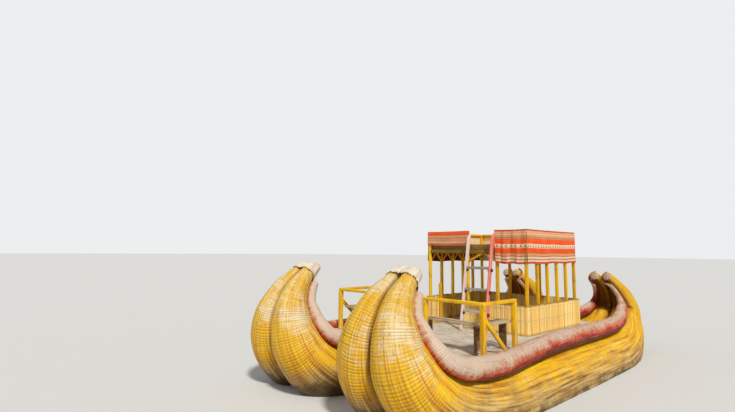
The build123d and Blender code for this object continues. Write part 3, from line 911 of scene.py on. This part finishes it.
# Painted shade: dark brown for the plates, joists and front board under the upper floor
paintedShadeWood = woodPaint("paintedShadeBeam", [(84, 58, 20), (120, 88, 30), (140, 104, 40), (160, 128, 64)],
                       (176, 150, 100), 0.0, (50, 34, 14))
roughBoard = woodPaint("roughBoard", [(190, 160, 108), (214, 190, 140), (226, 206, 164), (236, 220, 186)],
                       (240, 230, 205), 0.02, (130, 104, 66))
greyBoard = woodPaint("weatheredBoard", [(116, 92, 62), (166, 142, 106), (190, 168, 130), (212, 194, 158)],
                      (214, 202, 182), 0.06, (76, 56, 38))
darkBoard = woodPaint("darkBoard", [(70, 46, 26), (100, 72, 42), (124, 94, 60), (156, 126, 88)],
                      (220, 206, 180), 0.08, (48, 32, 18), footWear=0.10)
greyRung = woodPaint("greyRung", [(128, 118, 108), (166, 158, 148), (188, 182, 172), (212, 206, 196)],
                     (226, 220, 208), 0.06, (110, 90, 74))
makeCabinFrame()
makeRailing()
makeBenches()
print("timbers made")


# Ladder: two stiles with cut tops, rungs tied on with dark red cord

ladderLook = {
    "foot": (0.475, 0.270), "topX": 0.118, "topZ": 2.110, "cut": 0.070, "cutFrom": 0.030, "wide": 0.660,
    "stile": (0.042, 0.092), "corner": 0.007, "rung": (0.040, 0.060), "first": 0.415, "step": 0.465,
    "rungs": 3,
    "tieTurns": 5, "tieThick": 0.0065, "tieGap": 1.9, "tieOff": (0.020, -0.045),
}


def lashing(centre, along, wide, deep, turns, thick, gap):
    # Turns of cord pulled tight round a timber of that width and depth
    sideways = along.cross(Vector((0, 0, 1))).normalized()
    place = Matrix.Translation(onDeck(*centre)) @ Matrix((
        sideways, along.cross(sideways), along)).transposed().to_4x4()
    tube = 0.3
    made = []
    for k in range(turns):
        turn = addMesh(bpy.ops.mesh.primitive_torus_add, major_segments=20, minor_segments=6,
                       major_radius=1, minor_radius=tube)
        x, y, z = readPoints(turn).T
        angle = np.arctan2(y, x)
        reach = (np.abs(np.cos(angle) / wide * 2) ** 8 + np.abs(np.sin(angle) / deep * 2) ** 8) ** (-1 / 8)
        reach += thick * 0.7 + (np.hypot(x, y) - 1) / tube * thick
        lean = random.uniform(-0.6, 0.6) * thick * np.sin(angle + random.uniform(0, 6))
        z = z / tube * thick + (k - (turns - 1) / 2) * thick * gap + lean
        writePoints(turn, np.stack([np.cos(angle) * reach, np.sin(angle) * reach, z], 1))
        writeUv(turn, angle / fullTurn + 0.5, np.full(len(angle), k * 0.37))
        turn.data.transform(place)
        made.append(turn)
    return made


def makeLadder():
    look = ladderLook
    footX, middleY = look["foot"]
    topX, topZ, (wide, deep) = look["topX"], look["topZ"], look["stile"]
    lean = Vector((topX - footX, 0, topZ)).normalized()
    reach = (look["wide"] - wide) / 2
    stiles, rungs, ties = [], [], []
    for side in (1, -1):
        stile = timber((footX, topX), middleY + side * reach, (0, topZ), wide, deep, corner=look["corner"])
        editWhere(stile, "VERT", lambda vertex: vertex.co.z > deckTop + topZ - look["cutFrom"]
                  and vertex.co.x > cabinFront + topX)
        bpy.ops.transform.translate(value=(0, 0, -look["cut"]))
        setMode("OBJECT")
        writeValue(stile, "tone", 0.0 if side < 0 else 1.0)
        stiles.append(stile)
    for k in range(look["rungs"]):
        z = look["first"] + look["step"] * k
        x = footX + (topX - footX) * z / topZ
        half = look["wide"] / 2 - wide
        rungs.append(timber(x, (middleY - half, middleY + half), z, *look["rung"], tuple(lean)))
        for side in (1, -1):
            centre = (x + lean.x * look["tieOff"][0], middleY + side * reach, z + look["tieOff"][1])
            ties += lashing(centre, lean, deep, wide, look["tieTurns"], look["tieThick"], look["tieGap"])
    finishTimbers("ladderStiles", stiles, ladderPaint, "ladder_stiles")
    finishTimbers("ladderRungs", rungs, greyRung, "ladder_rungs")
    tied = joinPieces("ladderTies", ties)
    smooth(tied)
    handOver(tied, darkCord)


def cordPaint(name, pale, deep):
    paint = Paint(name, 0.9)
    twist = (paint.uv("X") * 40 + paint.uv("Y") * 3).fromMiddle()
    paint.base = rgba(deep)
    paint.coat((twist + paint.cloud(60) * 0.5).span(0.2, 0.7), pale)
    return paint.finish(twist, 0.002, 0.8)


def stilePaint():
    # Faded paint: nearly white on the starboard stile, pink-red on the port one
    paint = Paint("fadedLadderPaint", 0.7)
    grain, chips = paint.grain(2, 22, 6, 0.7), paint.grain(9, 30, 5, 0.7)
    paint.base = grain.ramp((0.3, (206, 172, 158)), (0.5, (232, 210, 200)), (0.7, (246, 236, 230)))
    paint.coat(paint.value("tone"), grain.ramp(
        (0.3, (222, 78, 62)), (0.5, (236, 120, 108)), (0.7, (248, 186, 176))))
    corner = (paint.uv("Y") * 4).fromMiddle()
    paint.coat((corner * 0.8 + chips * 0.7).span(0.66, 0.78), (240, 220, 206))
    paint.coat(chips.span(0.62, 0.72, 0, 0.7), (150, 110, 96))
    return paint.finish(grain, 0.002, 0.5)


ladderPaint = stilePaint()
darkCord = cordPaint("darkRedCord", (132, 40, 40), (48, 12, 14))
paleCord = cordPaint("paleCord", (238, 226, 204), (150, 124, 92))
makeLadder()
print("ladder made")


# Curls: at the stern the rolls end thin, bent round the bundles' cut ends

curlLook = {
    "row": 13.87, "seatRow": 13.84, "rollRows": (13.6, 13.74), "rollShare": 0.92,
    "turns": ((1, 76, 250), (-1, 76, -80)), "step": 22,  # side, first and last angle
    "radius": 0.032, "thinner": (1.1, 0.25), "sides": 16, "ringGap": 0.024, "bite": 0.002, "lump": 0.002,
    "dome": 0.004,
}


def makeCurls(name, hullSide, node):
    look = curlLook
    reach = hullAt(look["seatRow"])[0][2] + look["radius"] + rollLook["seat"]
    tubes = []
    for side, first, last in look["turns"]:
        starts = [rollCentre(f, side, hullSide) for f in look["rollRows"]]
        points, radii = [point for point, _ in starts], [radius * look["rollShare"] for _, radius in starts]
        count = round(abs(last - first) / look["step"])
        for k in range(1, count + 1):
            angle = first + (last - first) * k / count
            points.append(besideBundle(look["row"], side, hullSide, angle, reach))
            radii.append(look["radius"] * (look["thinner"][0] - look["thinner"][1] * k / count))
        tubes.append(finishRoll(reedTube(points, radii, look), side, hullSide, look["dome"]))
    handOver(joinPieces(name, tubes), rollReed, node)


for hullName, hullSide in hulls:
    makeCurls(f"{hullName}Curls", hullSide, f"curls_{hullName}")
print("curls made")


# Hoods: a cloth thrown over the two cut ends of each bow horn, with a dark frayed hem

hoodLook = {
    # height past the cut ends, share of the width, how far it leans to the horn's hollow, row of the table
    "rings": ((0.205, 0.0, 0.095, 0), (0.202, 0.12, 0.094, 0), (0.190, 0.28, 0.086, 0),
              (0.160, 0.50, 0.064, 0), (0.112, 0.72, 0.038, 0), (0.056, 0.89, 0.014, 0),
              (0.014, 0.98, 0.002, 0), (0.0, 1.0, 0, 0.06), (0.0, 1.0, 0, 0.15), (0.0, 1.0, 0, 0.24),
              (0.0, 1.0, 0, 0.32)),
    "around": 112, "thick": 0.003, "grow": 0.016, "tight": 0.45, "waist": 0.14, "peakSide": 0.035,
    "ripple": 0.007, "ripples": 13, "scallopFrom": 0.6, "scallop": 0.05, "scallops": 9,
    # where the hem runs further down over a roll: angle, how wide, how far down and how far out
    "flapsAt": (0.75, 2.39), "flapWide": 0.38, "flap": 0.55, "flapOut": 0.02,
    "flat": (0.62, 0.95), "cut": 0.50,
}


def slotPoint(share, straight, radius):
    # Point of a slot-shaped outline, by its share of the way round from the outermost point
    arc = math.pi * radius
    half = max(2 * straight + arc, 1e-9)
    way = (share * 2 * half + arc / 2) % (2 * half)
    sign = -1 if way >= half else 1
    way %= half
    if way < arc:
        angle = way / radius - math.pi / 2
        return sign * (straight + radius * math.cos(angle)), sign * radius * math.sin(angle)
    return sign * (straight + arc - way), sign * radius


def makeHood(name, hullSide, hullName):
    look = hoodLook
    rows = len(look["rings"]) - 1
    hood = addMesh(bpy.ops.mesh.primitive_grid_add, x_subdivisions=look["around"],
                   y_subdivisions=rows, size=2)
    points = readPoints(hood)
    turn = (points[:, 0] + 1) * math.pi
    level = np.round((1 - points[:, 1]) / 2 * rows).astype(int)
    placed = np.zeros_like(points)
    for n, (angle, k) in enumerate(zip(turn, level)):
        past, share, lean, f = look["rings"][k]
        low = k / rows
        toRoll = max(math.exp(-((angle - middle) / look["flapWide"]) ** 2) for middle in look["flapsAt"])
        scallop = look["scallop"] * math.sin(angle * look["scallops"] + 1)
        f += max(0, low - look["scallopFrom"]) * (scallop + look["flap"] * toRoll)
        (x, z, r, apart, _, _), (tx, tz) = hullAt(max(0, f))
        grow = look["grow"] * (1 - look["tight"] * low)
        wide, high = slotPoint(angle / fullTurn, apart * share, (r + grow) * share)
        high *= 1 - look["waist"] * math.exp(-((wide / (apart * share + 1e-6)) * 2.2) ** 2)
        fold = look["ripple"] * (low + 0.15) * math.sin(angle * look["ripples"] + math.sin(angle * 3) * 1.4)
        fold += look["flapOut"] * toRoll * low
        wide += fold * math.cos(angle)
        high += fold * math.sin(angle) + lean
        sideways = hullSide * (hullMid + wide) + look["peakSide"] * (1 - share)
        placed[n] = onDeck(x + high * tz - past * tx, sideways, z - high * tx - past * tz)
    writePoints(hood, placed)
    writeValue(hood, "hem", (level + 0.4 * np.sin(turn * 31)) / rows)
    writeUv(hood, turn * 0.15, level * 0.05)
    editAll(hood)
    bpy.ops.mesh.remove_doubles(threshold=0.0004)
    bpy.ops.mesh.normals_make_consistent(inside=False)
    setMode("OBJECT")
    applyModifier(hood, "SUBSURF", levels=1, render_levels=1)
    applyModifier(hood, "SOLIDIFY", thickness=look["thick"], offset=0)
    smooth(hood)
    handOver(joinPieces(name, [hood]), hoodCloth, f"hood_{hullName}")


def hoodPaint():
    paint = Paint("sackcloth", 0.9, 0.1)
    weave, soft = paint.cloud(260, 2), paint.cloud(9, 5, 0.6)
    paint.base = soft.ramp((0.35, (214, 196, 170)), (0.5, (232, 218, 198)), (0.65, (242, 232, 216)))
    paint.coat(weave.span(0.35, 0.65, 0, 0.25), (176, 156, 124))
    paint.coat((paint.value("hem") + paint.cloud(22, 4) * 0.12).span(1.0, 1.05), (130, 96, 60))
    return paint.finish(weave + soft * 2, 0.003, 0.5)


hoodCloth = hoodPaint()
for hullName, hullSide in hulls:
    makeHood(f"{hullName}Hood", hullSide, hullName)
print("hoods made")


# Deck: reed matting in ridges from side to side, on round poles

deckLook = {
    "front": 2.750, "aft": -2.950, "thick": 0.060, "ridge": 0.030, "height": 0.005, "play": 0.006,
    "edgeRows": (9.5, 5.4), "sag": 0.003, "uneven": 0.0015, "sway": 0.004,
    "poles": 6, "fromEnd": 0.450, "poleRadius": 0.030, "poleRim": 0.006, "poleCuts": 30,
}


def rollEdge(f, low, high):
    # Where the roll's inner side stands beside the deck's edge
    centre, radius = rollCentre(f, 1)
    height = centre.z - deckTop
    level = min(max(height, low), high)
    return centre.x - cabinFront, centre.y - math.sqrt(radius**2 - (height - level) ** 2)


def makeDeck():
    look = deckLook
    length = look["front"] - look["aft"]
    rows = round(length / look["ridge"])
    edgeX, edgeY = zip(*(rollEdge(f, -look["thick"], 0) for f in np.arange(*look["edgeRows"], -0.5)))
    deck = addMesh(bpy.ops.mesh.primitive_grid_add, x_subdivisions=rows * 2, y_subdivisions=24, size=2)
    gridX, gridY, z = readPoints(deck).T
    x = look["aft"] + (gridX + 1) / 2 * length
    half = np.interp(x, edgeX, edgeY) - look["play"]
    column = np.round((gridX + 1) * rows).astype(int)
    z = np.where(column % 2 == 0, -look["height"], z) - look["sag"] * (1 + np.sin(x * 3.7 + gridY * 6)) / 2
    z -= dice.uniform(0, look["uneven"], rows * 2 + 2)[column]
    sway = np.where(np.abs(gridY) > 0.999, 0, look["sway"] * np.sin(gridY * 9 + column * 0.35))
    x = np.clip(x + sway, look["aft"], look["front"]) + cabinFront
    writePoints(deck, np.stack([x, gridY * half, z + deckTop], 1))
    writeUv(deck, x, gridY * half)
    applyModifier(deck, "SOLIDIFY", thickness=look["thick"] - 2 * look["height"], offset=-1)
    writeValue(deck, "ridge", readPoints(deck)[:, 2] > deckTop - look["height"])
    smooth(deck, 50)
    handOver(joinPieces("deckMat", [deck]), matReed, "deck")


def makePoles():
    look = deckLook
    reach = (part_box("deck_poles")[1].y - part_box("deck_poles")[0].y) / 2
    apart = (look["front"] - look["aft"] - 2 * look["fromEnd"]) / (look["poles"] - 1)
    poles = []
    for k in range(look["poles"]):
        centre = onDeck(look["aft"] + look["fromEnd"] + apart * k, 0, -look["thick"] - look["poleRadius"])
        pole = addMesh(bpy.ops.mesh.primitive_cylinder_add, centre, rotation=(math.pi / 2, 0, 0),
                       vertices=16, radius=look["poleRadius"], depth=2 * reach)
        editWhere(pole, "FACE", lambda face: len(face.vertices) > 4)
        bpy.ops.mesh.inset(thickness=look["poleRim"], depth=0)
        setMode("OBJECT")
        divide(pole, 1, reach, look["poleCuts"])
        x, y, z = (readPoints(pole) - np.array([centre.x, 0, centre.z])).T
        knot = 1 - 0.05 * (1 + np.sin(y * 5 + k)) - 0.04 * (np.sin(y * 17 + k * 2) > 0.9)
        writePoints(pole, np.stack([centre.x + x * knot, y, centre.z + z * knot], 1))
        writeUv(pole, y + k * 5, np.arctan2(z, x) / fullTurn % 1, turns=True)
        writeValue(pole, "tone", random.random())
        poles.append(pole)
    finishTimbers("deckPoles", poles, poleWood, "deck_poles")


litterLook = {
    "count": 170, "x": (0.15, 2.60), "half": 1.45, "lift": 0.004, "long": (0.03, 0.14), "thick": 0.003,
}


def makeLitter():
    # Loose bits of reed trodden into the mat
    look = litterLook
    bits = []
    for _ in range(look["count"]):
        turn = dice.uniform(0, fullTurn)
        spot = onDeck(dice.uniform(*look["x"]), dice.uniform(-look["half"], look["half"]), look["lift"])
        way = Vector((math.cos(turn), math.sin(turn), 0.01)).normalized()
        bits.append(reedSliver(spot, way, dice.uniform(*look["long"]), look["thick"]))
    handOver(joinPieces("reedLitter", bits), looseReed)


def matPaint():
    paint = Paint("weatheredMat", 0.9, 0.15)
    reed, fine = paint.strands((70, 3, 1), 5), paint.strands((160, 9, 30), 4)
    paint.base = (reed * 0.6 + paint.cloud(2.3, 5, 0.6) * 0.4).ramp(
        (0.36, (158, 142, 122)), (0.46, (206, 192, 172)), (0.54, (224, 212, 194)), (0.64, (238, 228, 212)))
    paint.coat(paint.value("ridge").span(0, 0.7, 0.45, 0), (110, 92, 70))
    paint.coat(fine.span(0.55, 0.75, 0, 0.5), (110, 92, 70))
    return paint.finish(reed + fine, 0.003, 0.7)


looseReed = brokenPaint("looseReed", (120, 92, 58), (196, 164, 112), (240, 220, 172))
matReed = matPaint()
poleWood = woodPaint("peeledPole", [(92, 70, 44), (120, 96, 62), (140, 114, 78), (160, 134, 98)],
                     (170, 150, 116), 0.02, (60, 44, 28))
makeDeck()
makePoles()
makeLitter()
print("deck made")


# Cloths: striped wool hung from the rails round the upper floor

clothLook = {
    "thick": 0.004, "top": 2.180, "low": 1.450, "shortLow": 1.855, "off": 0.0051, "column": 0.022,
    "row": 0.030, "billow": 0.004, "droop": 0.010, "hemWave": 0.007, "hemLow": 0.012,
    # the front cloths: short of the left post, past the right one, over the corners, drawn in at the hem
    "leftShort": 0.031, "rightPast": 0.078, "cornerOver": 0.010, "drawIn": 0.05,
    # number of folds, their depth and their shift along the width
    "folds": {"port": (3.5, 0.020, 0.4), "starboard": (3.5, 0.020, 1.4), "aft": (4, 0.018, 2.0),
              "frontPort": (3.1, 0.050, 0.9), "frontStarboard": (2.2, 0.020, 0.2)},
}


def hangCloth(name, start, end, outward, low, folds, node, material, drawIn=0.0):
    # start and end: x and y of the cloth's upper corners
    look = clothLook
    start, end, outward = (np.array(v, float) for v in (start, end, outward))
    run, drop = np.linalg.norm(end - start), look["top"] - low
    cloth = addMesh(bpy.ops.mesh.primitive_grid_add, x_subdivisions=max(12, round(run / look["column"])),
                    y_subdivisions=max(6, round(drop / look["row"])), size=1)
    gridX, gridY, _ = readPoints(cloth).T
    s, t = gridX + 0.5, 0.5 - gridY
    number, depth, shift = folds
    wave = (np.sin(s * number * 6.283 + shift + 0.9 * np.sin(t * 2.2 + s * 3))
            + 0.45 * np.sin(s * number * 13.1 + shift * 2 + t * 3)) / 1.45
    off = look["off"] + depth * (0.35 + 0.65 * t) * (1 + wave) / 2
    off += look["billow"] * np.sin(t * 9 + s * 5 * number) * t
    pull = s + drawIn * t**2 * (1 - s)
    x, y = (start[k] + (end - start)[k] * pull + outward[k] * off for k in (0, 1))
    height = look["top"] - t * drop + look["hemWave"] * np.sin(s * number * 4.1 + shift) * t
    height = np.clip(height - look["droop"] * np.sin(s * 3.14) * (1 - t), low - look["hemLow"], look["top"])
    writePoints(cloth, np.stack([x + cabinFront, y, height + deckTop], 1))
    writeUv(cloth, s * run, t)
    applyModifier(cloth, "SUBSURF", levels=1, render_levels=1)
    outer = len(cloth.data.vertices)
    normal = sum((polygon.normal for polygon in cloth.data.polygons), Vector())
    if normal.dot(Vector((*outward, 0))) <= 0:
        editAll(cloth)
        bpy.ops.mesh.flip_normals()
        setMode("OBJECT")
    applyModifier(cloth, "SOLIDIFY", thickness=look["thick"], offset=-1)
    writeValue(cloth, "inside", np.arange(len(cloth.data.vertices)) >= outer)
    smooth(cloth)
    handOver(joinPieces(name, [cloth]), material, node)


def clothPaint(name, bands, diamonds, zigzags, lining):
    # bands and lining: share of the height from the top, and the colour from there to the next one
    paint = Paint(name, 0.85, 0.1)
    u, t = paint.uv("X"), paint.uv("Y") + paint.grain(3, 3, 2).swing(0.012)
    paint.base = t.ramp(*bands, how="CONSTANT")
    threads = t * 34
    thread, stripe = threads.fromMiddle(), paint.cells(threads.floor())
    calmer = [(spot, 0.25 if colour in strongWool else 1.0) for spot, colour in bands]
    calm = t.ramp(*calmer, how="CONSTANT")
    paint.coat(stripe.span(0.55, 0.75, 0, 0.6) * calm, (140, 66, 34))
    paint.coat(stripe.span(0.25, 0.10, 0, 0.6) * calm, (248, 226, 196))
    paint.coat(thread.span(0.3, 0.5, 0, 0.25) * calm, (246, 220, 190))
    for spot, wide, count, colour, shape in diamonds:
        far = (u * count).fromMiddle() * shape + abs((t - spot) / wide)
        paint.coat(far.span(0.5, 0.42), colour)
    for spot, wide, count, colour in zigzags:
        line = abs(t - spot - (u * count).fromMiddle() * wide)
        paint.coat(line.span(0.012, 0.007), colour)
    paint.coat(paint.cloud(4, 4, 0.6).span(0.45, 0.75, 0, 0.16), (240, 190, 150))
    paint.coat(paint.value("inside").span(0.4, 0.6), t.ramp(*lining, how="CONSTANT"))
    weave = paint.grain(420, 60, 2)
    paint.coat(weave.span(0.4, 0.7, 0, 0.15), (110, 44, 22))
    return paint.finish(weave + thread, 0.0015, 0.5)


orangeWool, tanWool, paleWool = (252, 84, 12), (230, 158, 106), (244, 218, 184)
redWool, peachWool, darkWool = (206, 40, 20), (238, 166, 116), (70, 44, 52)
strongWool = (orangeWool, redWool)
# Inside of the long cloths: yellow strip and cream at the top, then dark red lower down, which is painted
# shade
longLiningAndShade = [(0.0, (232, 178, 44)), (0.14, (232, 210, 170)), (0.45, (112, 38, 28))]
aftLining = [(0.0, (232, 178, 44)), (0.14, (240, 218, 176))]
longBands = [(0.0, redWool), (0.03, tanWool), (0.27, orangeWool), (0.42, paleWool), (0.54, orangeWool),
             (0.68, tanWool), (0.80, peachWool), (0.94, redWool)]
shortBands = [(0.0, orangeWool), (0.28, tanWool), (0.87, orangeWool)]
longCloth = clothPaint("stripedWool", longBands,
                       [(0.48, 0.10, 9, darkWool, 3), (0.48, 0.035, 9, orangeWool, 5)],
                       [(0.86, 0.05, 22, (92, 110, 64))], longLiningAndShade)
shortCloth = clothPaint("stripedWoolShort", shortBands,
                        [(0.47, 0.13, 14, (140, 72, 48), 2), (0.73, 0.13, 14, paleWool, 2)],
                        [(0.55, 0.22, 14, paleWool)], longLiningAndShade)
aftCloth = clothPaint("stripedWoolAft", longBands, [(0.48, 0.10, 9, darkWool, 3)], [], aftLining)


def makeCloths():
    look = clothLook
    low, folds, over = look["low"], look["folds"], look["cornerOver"]
    edge, fore = cabinLook["half"] + postWide / 2, postWide / 2
    aft = -cabinLook["length"] - fore
    left, right = cabinLook["frontPosts"]
    for hullName, side in hulls:
        hangCloth(f"{hullName}Cloth", (fore, side * edge), (aft, side * edge), (0, side), low,
                  folds[hullName], f"cloth_{hullName}", longCloth)
    hangCloth("aftCloth", (aft, edge), (aft, -edge), (-1, 0), low, folds["aft"], "cloth_aft", aftCloth)
    hangCloth("frontPortCloth", (fore, left - look["leftShort"]), (fore, edge + over), (1, 0), low,
              folds["frontPort"], "cloth_front_port", longCloth, look["drawIn"])
    hangCloth("frontStarboardCloth", (fore, -edge - over), (fore, right + look["rightPast"]), (1, 0),
              look["shortLow"], folds["frontStarboard"], "cloth_front_starboard", shortCloth)


makeCloths()
print("cloths made")


# Reed walls: upright reeds side by side, tied with cords at the middle and near the top

wallLook = {
    "height": 0.610, "thick": 0.045, "offSide": 0.010, "offFront": 0.065, "corner": 0.150, "cornerSteps": 9,
    "entry": {"port": -0.205, "starboard": -0.930}, "reedRadius": 0.0105, "reedGap": 0.0175,
    "sizes": (0.8, 1.08), "layers": 0.011, "uneven": 0.030, "lean": 0.006, "bow": 0.004,
    "cords": (0.30, 0.52), "cordRadius": 0.004, "cordOff": 0.0075, "cordStep": 0.060, "cordSway": 0.003,
    "pinch": 0.003, "pinchTall": 0.03,
}


def reedRow(line, layer):
    # One layer of upright reeds along the line, each a little different
    look = wallLook
    tall = look["height"]
    steps = [b - a for a, b in zip(line, line[1:])]
    ends = np.concatenate([[0], np.cumsum([step.length for step in steps])])
    length = ends[-1]
    count = round(length / look["reedGap"])
    reed = addMesh(bpy.ops.mesh.primitive_cylinder_add, (0, 0, tall / 2), vertices=6,
                   radius=look["reedRadius"], depth=tall)
    divide(reed, 2, 0.3, 4)
    editWhere(reed, "FACE", lambda face: face.center.z > tall - 0.01 and len(face.vertices) == 6)
    bpy.ops.mesh.inset(thickness=0.003, depth=-0.004)
    setMode("OBJECT")
    single = len(reed.data.vertices)
    repeat(reed, count, (0, 0, 0))
    x, y, z = readPoints(reed).T
    which = np.arange(len(x)) // single
    t = z / tall
    top = tall - look["uneven"] * dice.random(count)[which]
    lean, bow = (dice.uniform(-far, far, count)[which] for far in (look["lean"], look["bow"]))
    size = dice.uniform(*look["sizes"], count)[which]
    pinch = sum(np.exp(-((z - cord) / look["pinchTall"]) ** 2) for cord in look["cords"])
    at = (which + 0.5 + 0.25 * layer) / count * length
    at = np.clip(at + lean * (t - 0.4) + bow * np.sin(t * 3.1) + x * size * 1.05, 0, length)
    off = layer * (look["layers"] - look["pinch"] * pinch) + y * size * 0.95
    k = np.clip(np.searchsorted(ends, at, side="right") - 1, 0, len(steps) - 1)
    starts = np.array([point[:2] for point in line])[k]
    ways = np.array([step.normalized()[:2] for step in steps])[k]
    spot = starts + ways * (at - ends[k])[:, None] + np.stack([ways[:, 1], -ways[:, 0]], 1) * off[:, None]
    writePoints(reed, np.column_stack([spot, deckTop + t * top]))
    writeUv(reed, which * 0.37 + layer * 0.11, t)
    writeValue(reed, "tone", dice.random(count)[which])
    return reed


def wallCord(line, height, side):
    # A cord round the reeds at that height, on one side of the wall
    look = wallLook
    path = []
    for a, b in zip(line, line[1:]):
        out = Vector(((b - a).y, -(b - a).x, 0)).normalized() * side * (look["layers"] + look["cordOff"])
        steps = max(1, round((b - a).length / look["cordStep"]))
        path += [a.lerp(b, k / steps) + out for k in range(steps)]
    path.append(line[-1] + out)
    cord, spline = newCurve(len(path))
    for k, (spot, point) in enumerate(zip(spline.bezier_points, path)):
        spot.handle_left_type = spot.handle_right_type = "AUTO"
        spot.co = point + Vector((0, 0, height + look["cordSway"] * math.sin(k * 2.1 + side)))
    cord.data.bevel_depth = look["cordRadius"]
    cord.data.bevel_resolution = 1
    cord.data.resolution_u = 2
    cord.data.use_fill_caps = True
    bpy.ops.object.convert(target="MESH")
    cord = bpy.context.object
    points = readPoints(cord)
    writeUv(cord, points[:, 0] + points[:, 1], points[:, 2] * 20)
    return cord


def makeWall(name, points, node):
    line = [onDeck(x, y, 0) for x, y in points]
    wall = joinPieces(name, [reedRow(line, layer) for layer in (-1, 1)])
    smooth(wall, 70)
    handOver(wall, wallReed, node)
    cords = [wallCord(line, height, side) for height in wallLook["cords"] for side in (-1, 1)]
    handOver(joinPieces(name + "Cords", cords), paleCord)


def wallPaint():
    paint = Paint("uprightReed", 0.7)
    streak, tip = paint.strands((40, 40, 2.5), 4), paint.uv("Y")
    paint.base = (paint.value("tone") * 0.6 + streak * 0.4).ramp(
        (0.15, (206, 150, 66)), (0.4, (242, 196, 100)), (0.6, (252, 220, 128)), (0.85, (255, 240, 186)))
    paint.coat(tip.span(0.95, 1.0, 0, 0.7), (112, 78, 40))
    paint.coat(tip.span(0.10, 0.0, 0, 0.6), (120, 84, 44))
    return paint.finish(streak, 0.001, 0.5)


def makeWalls():
    look = wallLook
    thick = look["thick"]
    side = cabinLook["half"] + postWide / 2 + look["offSide"] + thick / 2
    fore = postWide / 2 + look["offFront"] + thick / 2
    aft = -cabinLook["length"] - postWide / 2 - look["offSide"]
    bend = look["corner"] - thick / 2
    for hullName, way in hulls:
        arc = [(fore - bend + bend * math.sin(a), way * (side - bend + bend * math.cos(a)))
               for a in np.linspace(0, math.pi / 2, look["cornerSteps"])]
        makeWall(f"{hullName}FrontWall", arc + [(fore, look["entry"][hullName])], f"wall_front_{hullName}")
        makeWall(f"{hullName}Wall", [(aft, way * side), (fore - bend, way * side)], f"wall_{hullName}")
    middle, reach = aft - thick / 2, side + thick / 2
    makeWall("aftWall", [(middle, -reach), (middle, reach)], "wall_aft")


wallReed = wallPaint()
makeWalls()
print("reed walls made")


# Plain floor at the waterline, pale room, two suns and the camera

stageLook = {
    "floorSize": 500, "floorTone": (222, 222, 220), "roomTone": (236, 238, 240), "roomLight": 0.33,
    "cameraPlace": (8.78, 6.0, 1.7), "yaw": 47.62, "pitch": 5.67, "roll": 0.49, "lens": 22.04,
    # where it shines from, power, spread in degrees, tone
    "suns": {"keySun": ((0.50, 1.0, 1.15), 2.8, 6, (1, 0.97, 0.92)),
             "fillSun": ((1.0, -0.6, 0.8), 0.35, 50, (0.92, 0.96, 1))},
}


def makeFloor():
    floor = addMesh(bpy.ops.mesh.primitive_plane_add, (0, 0, waterline), size=stageLook["floorSize"])
    floor.name = "floor"
    paint = Paint("paleFloor", 0.9, 0.1)
    paint.base = rgba(stageLook["floorTone"])
    floor.data.materials.append(paint.finish())


def makeRoom():
    # Lights softly, but looks pale to the camera and in reflections
    room = bpy.data.worlds.new("room")
    room.use_nodes = True
    nodes, link = room.node_tree.nodes, room.node_tree.links.new
    light, seen, path, pick = nodes["Background"], *(
        nodes.new("ShaderNode" + kind) for kind in ("Background", "LightPath", "MixShader"))
    light.inputs["Strength"].default_value = stageLook["roomLight"]
    for shade in (light, seen):
        shade.inputs["Color"].default_value = rgba(stageLook["roomTone"])
    direct = path.outputs["Is Camera Ray"]
    for ray in ("Is Glossy Ray", "Is Transmission Ray"):
        either = nodes.new("ShaderNodeMath")
        either.operation = "MAXIMUM"
        link(direct, either.inputs[0])
        link(path.outputs[ray], either.inputs[1])
        direct = either.outputs[0]
    for k, socket in enumerate((direct, light.outputs[0], seen.outputs[0])):
        link(socket, pick.inputs[k])
    link(pick.outputs[0], nodes["World Output"].inputs["Surface"])
    bpy.context.scene.world = room


def makeSun(name, towards, power, spread, tone):
    sun = addNew(bpy.ops.object.light_add, type="SUN", location=(0, 0, 12))
    sun.name = name
    sun.data.energy = power
    sun.data.angle = math.radians(spread)
    sun.data.color = tone
    sun.rotation_euler = (-Vector(towards)).to_track_quat("-Z", "Y").to_euler()


def makeCamera():
    camera = addNew(bpy.ops.object.camera_add)
    camera.name = "photoCamera"
    yaw, pitch, roll = (math.radians(stageLook[key]) for key in ("yaw", "pitch", "roll"))
    ahead = Vector((-math.cos(yaw) * math.cos(pitch), -math.sin(yaw) * math.cos(pitch), math.sin(pitch)))
    right = ahead.cross(Vector((0, 0, 1))).normalized()
    up = right.cross(ahead)
    across = right * math.cos(roll) + up * math.sin(roll)
    upwards = up * math.cos(roll) - right * math.sin(roll)
    place = Matrix((across, upwards, -ahead)).transposed().to_4x4()
    place.translation = onDeck(*stageLook["cameraPlace"])
    camera.matrix_world = place
    camera.data.lens = stageLook["lens"]
    camera.data.sensor_width = 36
    camera.data.clip_end = 300
    bpy.context.scene.camera = camera


makeFloor()
makeRoom()
for name, settings in stageLook["suns"].items():
    makeSun(name, *settings)
makeCamera()
bpy.context.scene.view_settings.view_transform = "Standard"
print("stage made")
